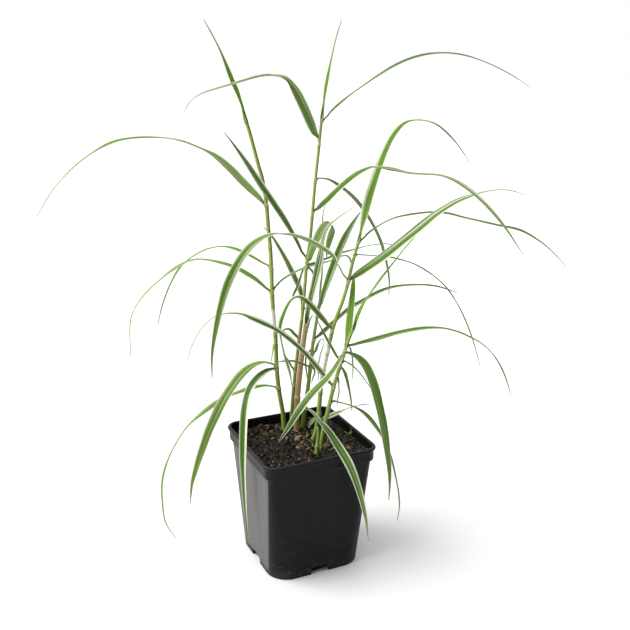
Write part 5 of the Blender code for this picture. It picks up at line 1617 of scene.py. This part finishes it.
def build_pot(pot):
    """The pot: outside, inside, recess under its floor, foot notches and drain holes."""
    body = as_object("pot_body", lofted([rounded_square(*section) for section in pot_sections(pot)]))
    cutters = []
    floor_top = FLOOR_LIFT + FLOOR_THICKNESS
    inside = [rounded_square(*wall_section(floor_top), floor_top)]
    steps = (SHOULDER_HEIGHT + INNER_STEP_RISE, POT_HEIGHT - BAND_HEIGHT + INNER_STEP_RISE)
    for height in (0.04, 0.07, 0.1, *steps):
        inside.append(rounded_square(*wall_section(height), height))
    top_width, top_corner = wall_section(POT_HEIGHT)
    for step in range(5):
        turn = step / 4 * math.pi / 2
        width = top_width + 1.6 * MM * (1 - math.cos(turn))
        level = POT_HEIGHT - 1.2 * MM * (1 - math.sin(turn))
        inside.append(rounded_square(width, top_corner, level))
    inside.append(rounded_square(top_width + 1.7 * MM, top_corner, POT_HEIGHT + 3 * MM))
    cutters.append(as_object("pot_hollow", lofted(inside)))
    recess = [rounded_square(*wall_section(height), height) for height in (-3 * MM, FLOOR_LIFT)]
    cutters.append(as_object("pot_recess", lofted(recess)))
    for side in range(2):
        notch = bmesh.new()
        bmesh.ops.create_cube(notch, size=1)
        bmesh.ops.scale(notch, vec=(NOTCH_WIDTH, 2 * BASE_WIDTH, 2 * NOTCH_HEIGHT), verts=notch.verts)
        for vertex in notch.verts:
            if vertex.co.z < 0:
                vertex.co.x += math.copysign(NOTCH_FLARE, vertex.co.x)
        bmesh.ops.rotate(notch, matrix=Matrix.Rotation(side * math.pi / 2, 3, "Z"), verts=notch.verts)
        cutters.append(as_object(f"pot_notch_{side}", notch))
    for index in range(4):
        angle = math.pi / 4 + index * math.pi / 2
        place = Vector((math.cos(angle) * DRAIN_RING, math.sin(angle) * DRAIN_RING, FLOOR_LIFT))
        hole = bmesh.new()
        bmesh.ops.create_cone(
            hole, cap_ends=True, segments=24, radius1=DRAIN_RADIUS, radius2=DRAIN_RADIUS,
            depth=12 * MM, matrix=Matrix.Translation(place),
        )
        cutters.append(as_object(f"pot_drain_{index}", hole))
    for cutter in cutters:
        cut = body.modifiers.new(cutter.name, "BOOLEAN")
        cut.operation = "DIFFERENCE"
        cut.solver = "EXACT"
        cut.object = cutter
    soften = body.modifiers.new("edges", "BEVEL")
    soften.width = 0.3 * MM
    soften.segments = 2
    soften.angle_limit = math.radians(50)
    soften.harden_normals = False
    depsgraph = bpy.context.evaluated_depsgraph_get()
    mesh = bpy.data.meshes.new_from_object(body.evaluated_get(depsgraph))
    for spent in (body, *cutters):
        bpy.data.objects.remove(spent)
    mesh.name = "pot_shell"
    mesh.materials.clear()
    mesh.materials.append(plastic_finish(pot))
    mesh.shade_smooth()
    mesh.set_sharp_from_angle(angle=math.radians(40))
    shell = bpy.data.objects.new("pot_shell", mesh)
    bpy.context.scene.collection.objects.link(shell)
    dressed(shell, "pot_plastic", "pot")


# Soil


def soil_level(x, y, soil):
    """The height of the soil's surface."""
    place = Vector((x, y, 0)) / SOIL_LUMP_SIZE
    lumps = noise.noise(place) + noise.noise(place * SOIL_FINER) * SOIL_LOWER
    small = noise.noise(place * 6.5 + Vector((3, 1, 0))) * 0.32 + noise.noise(place * 15) * 0.16
    ridge = abs(noise.noise(place * 3.4 + Vector((7, 2, 5)))) * 0.9
    half = BAND_WIDTH / 2
    bank = SOIL_BANK * (max(abs(x), abs(y)) / half) ** 3
    bank += SOIL_CORNER_BANK * max(0.0, (x - y) / (2 * half)) ** 4
    return SOIL_HEIGHT - 0.25 * MM + bank + soil.lump_height * (lumps + small - ridge)


def build_soil(soil):
    """The block of soil with its lumpy top."""
    width, corner = wall_section(SOIL_HEIGHT, GAP)
    edge = rounded_square(width, corner, SOIL_HEIGHT, 10, 40)
    bottom_height = FLOOR_LIFT + FLOOR_THICKNESS + GAP
    bottom_width, bottom_corner = wall_section(bottom_height, GAP)
    rings = [rounded_square(bottom_width, bottom_corner, bottom_height, 10, 40)]
    for height in (SHOULDER_HEIGHT, POT_HEIGHT - BAND_HEIGHT):
        height += INNER_STEP_RISE + GAP
        rings.append(rounded_square(*wall_section(height, GAP), height, 10, 40))
    steps = 56
    for step in range(steps):
        share = 1 - step / steps
        ring = []
        for point in edge:
            x, y = point.x * share, point.y * share
            level = soil_level(x, y, soil) - 1.2 * MM * eased(share, 0.96, 1.0)
            ring.append(Vector((x, y, level)))
        rings.append(ring)
    block = as_object("soil_block", lofted(rings))
    block.data.shade_smooth()
    block.data.materials.append(soil_finish(soil))
    dressed(block, "soil", "soil")


def on_soil(x, y, soil):
    """The point of the soil's surface that the view shows at (x, y)."""
    ray = ray_through(x, y)
    height = SOIL_HEIGHT
    for _ in range(4):
        point = VIEWER + ray * ((height - VIEWER.z) / ray.z)
        height = soil_level(point.x, point.y, soil)
    return Vector((point.x, point.y, height))


def add_lump(shape, place, size, flat, dice, tone, levels=1):
    """A rough pebble of soil, moss or husk."""
    ball = bmesh.new()
    bmesh.ops.create_icosphere(ball, subdivisions=levels, radius=1)
    turn = dice.random() * 6.3
    axis = (dice.random() - 0.5, dice.random() - 0.5, dice.random())
    spin = Matrix.Rotation(turn, 3, axis)
    stretch = Vector((1 + dice.random() * 0.7, 1 - dice.random() * 0.3, flat))
    offset = Vector((dice.random(), dice.random(), dice.random())) * 40
    first = len(shape.points)
    for vertex in ball.verts:
        rough = 1 + 0.75 * noise.noise(vertex.co * 1.5 + offset)
        shape.point(place + (spin @ (vertex.co * stretch)) * (size * rough), tone)
    for face in ball.faces:
        shape.face([first + vertex.index for vertex in face.verts])
    ball.free()


def add_thread(shape, path, radius, tone, flat=1.0):
    """A root, fibre or small blade along a path, that thins towards its end."""
    rings = []
    for index, point in enumerate(path):
        ahead = path[min(index + 1, len(path) - 1)] - path[max(index - 1, 0)]
        across = ahead.cross(VIEW_BACK).normalized()
        over = across.cross(ahead).normalized() * flat
        size = radius * (1 - 0.8 * (index / (len(path) - 1)) ** 2)
        ring = []
        for side in range(6):
            angle = side * math.pi / 3
            ring.append((point + (across * math.cos(angle) + over * math.sin(angle)) * size, tone))
        rings.append(ring)
    shape.tube(rings)


def bent_path(start, aside, rise, bow, steps=6):
    """Points from a start to a place aside and above it in the view, bowed to one side."""
    path = []
    for step in range(steps + 1):
        share = step / steps
        shift = VIEW_ASIDE * (aside * share + bow * math.sin(share * math.pi))
        path.append(start + shift + Vector((0, 0, rise * share)))
    return path


def loose_path(dice, middle, aside, rise, soil):
    """A short bent path, drawn by lot, that starts near a place on the soil."""
    start = on_soil(dice.gauss(middle[0], 6), dice.gauss(middle[1], 5), soil)
    shifts = (dice.uniform(-aside, aside), dice.uniform(0.5, rise), dice.uniform(-2, 2))
    return bent_path(start, *(shift * MM for shift in shifts))


def build_crumbs(soil):
    """Loose crumbs, pale chips, husks, tufts of moss, fibres and seedlings."""
    dice = random.Random(7)
    crumbs = Shape("tone")
    width, _ = wall_section(SOIL_HEIGHT, GAP)
    reach = width / 2 - 2.5 * MM
    for _ in range(soil.crumbs):
        x, y = dice.uniform(-reach, reach), dice.uniform(-reach, reach)
        if abs(x) + abs(y) > 2 * reach - 6 * MM:
            continue
        size = 0.3 * MM + 1.5 * MM * dice.random() ** 3
        tan = 0.75 * dice.random() if dice.random() < 0.07 else 0.0
        shade = dice.random() ** 3.2
        level = soil_level(x, y, soil) + size * 0.25
        levels = 2 if size > 0.9 * MM else 1
        add_lump(crumbs, Vector((x, y, level)), size, 0.75, dice, (shade, tan, 0.0), levels)
    for _ in range(46):
        x, y = dice.gauss(300, 5.5), dice.gauss(441, 4.2)
        tone = (0.7, dice.uniform(0.3, 1.0), 0.0)
        spot = on_soil(x, y, soil) + Vector((0, 0, 0.6 * MM))
        add_lump(crumbs, spot, dice.uniform(0.7, 1.9) * MM, 0.5, dice, tone)
    for _ in range(40):
        x, y = 258 + 50 * dice.random(), 427 + 3 * dice.random()
        tone = (0.9, dice.uniform(0.15, 0.5), 0.0)
        add_lump(crumbs, on_soil(x, y - 2, soil), dice.uniform(0.5, 1.4) * MM, 0.7, dice, tone)
    for middle, spread, count in (
        ((265.5, 434), 2.2, 26), ((277, 435), 2.4, 26), ((348, 441), 4, 40), ((283, 455), 4, 24),
        ((316, 452), 5, 30), ((331, 455), 5, 24), ((258, 456), 2, 14), ((362, 448), 5, 30),
        ((294, 466), 8, 24),
    ):
        for _ in range(count):
            x, y = dice.gauss(middle[0], spread), dice.gauss(middle[1], spread * 0.5)
            spot = on_soil(x, y, soil) + Vector((0, 0, 0.4 * MM))
            if max(abs(spot.x), abs(spot.y)) < reach:
                size = dice.uniform(0.35, 0.8) * MM
                add_lump(crumbs, spot, size, 0.6, dice, (0.3, 0.0, dice.uniform(0.4, 1.0)))
    for _ in range(34):
        path = loose_path(dice, (320, 444), 6, 5, soil)
        add_thread(crumbs, path, dice.uniform(0.15, 0.32) * MM, (1.0, 2.0, 0.0))
    for _ in range(16):
        path = loose_path(dice, (299, 438), 5, 3.5, soil)
        add_thread(crumbs, path, dice.uniform(0.2, 0.6) * MM, (0.9, dice.uniform(0.6, 1.0), 0.0), 0.5)
    for x, y, aside, rise, bow in (
        (349, 434, 1, 7, 1.5), (348, 434, -4, 3, 0.5), (350, 434, 3, 3, -0.5),
        (323, 449, 2, 5, 1), (316, 451, -3, 5, 1), (326, 447, 3, 6, -1), (319, 452, -1, 4, 1),
        (313, 446, -4, 6, 1), (330, 450, 4, 3, 1), (283, 430, -3, 5, -1), (303, 428, 3, 5, 1),
        (331, 436, 3, 7, 1), (310, 436, -3, 6, -1),
    ):
        path = bent_path(on_soil(x, y, soil), aside * MM, rise * MM, bow * MM)
        add_thread(crumbs, path, 0.55 * MM, (0.9, 0.0, 2.0), 0.35)
    piece = crumbs.made("soil_crumbs", crumb_finish(soil), mapped=False)
    dressed(piece, "soil")


# Stage


def build_stage(studio):
    """Pale floor, a soft key light from the left, pale studio walls and the camera."""
    scene = bpy.context.scene
    scene.view_settings.view_transform = "Standard"
    shape = bmesh.new()
    bmesh.ops.create_circle(shape, cap_ends=True, segments=64, radius=12)
    floor = as_object("studio_floor", shape)
    floor.location.z = -0.05 * MM
    paint = Finish(bpy.data.materials.new("studio_floor"))
    tone = studio.floor_tone
    floor.data.materials.append(paint.surface(
        Base_Color=(tone, tone, tone * 1.005, 1.0),
        Roughness=paint.grain(paint.place(), 30.0) * 0.1 + 0.8,
        Specular_IOR_Level=0.0,
    ))

    sun = bpy.data.lights.new("soft_key", "SUN")
    sun.energy = studio.key
    sun.angle = studio.key_angle
    sun.color = (1.0, 0.985, 0.96)
    key = bpy.data.objects.new("soft_key", sun)
    scene.collection.objects.link(key)
    key_from = VIEW_ASIDE * -0.74 + VIEW_TOWARDS * 0.10 + Vector((0, 0, 0.62))
    key.rotation_euler = key_from.to_track_quat("Z", "Y").to_euler()

    world = bpy.data.worlds.new("studio_walls")
    scene.world = world
    walls = Finish(world)
    facing = walls.add("ShaderNodeTexCoord").outputs["Generated"]
    bright_side = VIEW_ASIDE * -0.6 + VIEW_TOWARDS * -0.6 + Vector((0, 0, 0.53))
    towards = walls.add(
        "ShaderNodeVectorMath", {"operation": "DOT_PRODUCT"}, {0: facing, 1: tuple(bright_side)}
    )
    side = Value(walls, towards.outputs["Value"])
    strength = (0.36 + side.between(-0.5, 0.95) * 1.3) * studio.ambient
    seen = walls.add("ShaderNodeLightPath").outputs["Is Camera Ray"]
    white = (1, 1, 1, 1)
    lighting = walls.add("ShaderNodeBackground", None, {0: white, 1: strength}).outputs[0]
    backdrop = walls.add("ShaderNodeBackground", None, {0: white, 1: 1.0}).outputs[0]
    mix = walls.add("ShaderNodeMixShader", None, {0: seen, 1: lighting, 2: backdrop}).outputs[0]
    walls.add("ShaderNodeOutputWorld", None, {0: mix})

    lens = bpy.data.cameras.new("view")
    lens.lens = VIEW_LENS
    lens.sensor_width = VIEW_SENSOR
    lens.clip_start = 0.01
    camera = bpy.data.objects.new("view", lens)
    scene.collection.objects.link(camera)
    axes = Matrix((VIEW_RIGHT, VIEW_UP, VIEW_BACK)).transposed()
    camera.matrix_world = Matrix.Translation(VIEWER) @ axes.to_4x4()
    scene.camera = camera


# Operators, panel and registration


class GRASS_OT_pot(bpy.types.Operator):
    """Build the square plastic pot"""

    bl_idname = "grass.pot"
    bl_label = "Pot"

    def execute(self, context):
        build_pot(context.scene.grass_pot)
        return {"FINISHED"}


class GRASS_OT_soil(bpy.types.Operator):
    """Build the soil and what lies on it"""

    bl_idname = "grass.soil"
    bl_label = "Soil and crumbs"

    def execute(self, context):
        build_soil(context.scene.grass_soil)
        build_crumbs(context.scene.grass_soil)
        return {"FINISHED"}


class GRASS_OT_culms(bpy.types.Operator):
    """Build the culms and the young shoot"""

    bl_idname = "grass.culms"
    bl_label = "Culms"

    def execute(self, context):
        build_culms(context.scene.grass_plant)
        return {"FINISHED"}


class GRASS_OT_spears(bpy.types.Operator):
    """Build the upright spears on the culms' tops"""

    bl_idname = "grass.spears"
    bl_label = "Spears"

    def execute(self, context):
        for name in BLADES:
            if name.startswith("spear"):
                build_blade(name, context.scene.grass_plant)
        return {"FINISHED"}


class GRASS_OT_leaves(bpy.types.Operator):
    """Build the leaves, each with its collar"""

    bl_idname = "grass.leaves"
    bl_label = "Leaves"

    def execute(self, context):
        for name in BLADES:
            if name.startswith("leaf"):
                build_blade(name, context.scene.grass_plant)
        return {"FINISHED"}


class GRASS_OT_stage(bpy.types.Operator):
    """Set up the floor, the lights and the camera"""

    bl_idname = "grass.stage"
    bl_label = "Stage"

    def execute(self, context):
        build_stage(context.scene.grass_studio)
        return {"FINISHED"}


OPERATORS = (
    GRASS_OT_pot, GRASS_OT_soil, GRASS_OT_culms, GRASS_OT_spears, GRASS_OT_leaves, GRASS_OT_stage,
)


class GRASS_PT_panel(bpy.types.Panel):
    """The pieces and their settings"""

    bl_idname = "GRASS_PT_panel"
    bl_label = "Ribbon grass"
    bl_space_type = "VIEW_3D"
    bl_region_type = "UI"
    bl_category = "Ribbon grass"

    def draw(self, context):
        for operator in OPERATORS:
            self.layout.operator(operator.bl_idname)
        for name in SETTINGS:
            box = self.layout.box()
            for setting in getattr(context.scene, name).__annotations__:
                box.prop(getattr(context.scene, name), setting)


def register():
    for group in (*SETTINGS.values(), *OPERATORS, GRASS_PT_panel):
        bpy.utils.register_class(group)
    for name, group in SETTINGS.items():
        setattr(bpy.types.Scene, name, PointerProperty(type=group))


def unregister():
    for name in SETTINGS:
        delattr(bpy.types.Scene, name)
    for group in (GRASS_PT_panel, *OPERATORS, *SETTINGS.values()):
        bpy.utils.unregister_class(group)


def main():
    register()
    for operator in OPERATORS:
        if getattr(bpy.ops.grass, operator.bl_idname.split(".")[1])() != {"FINISHED"}:
            raise RuntimeError(f"{operator.bl_label} could not be built")


if __name__ == "__main__":
    main()
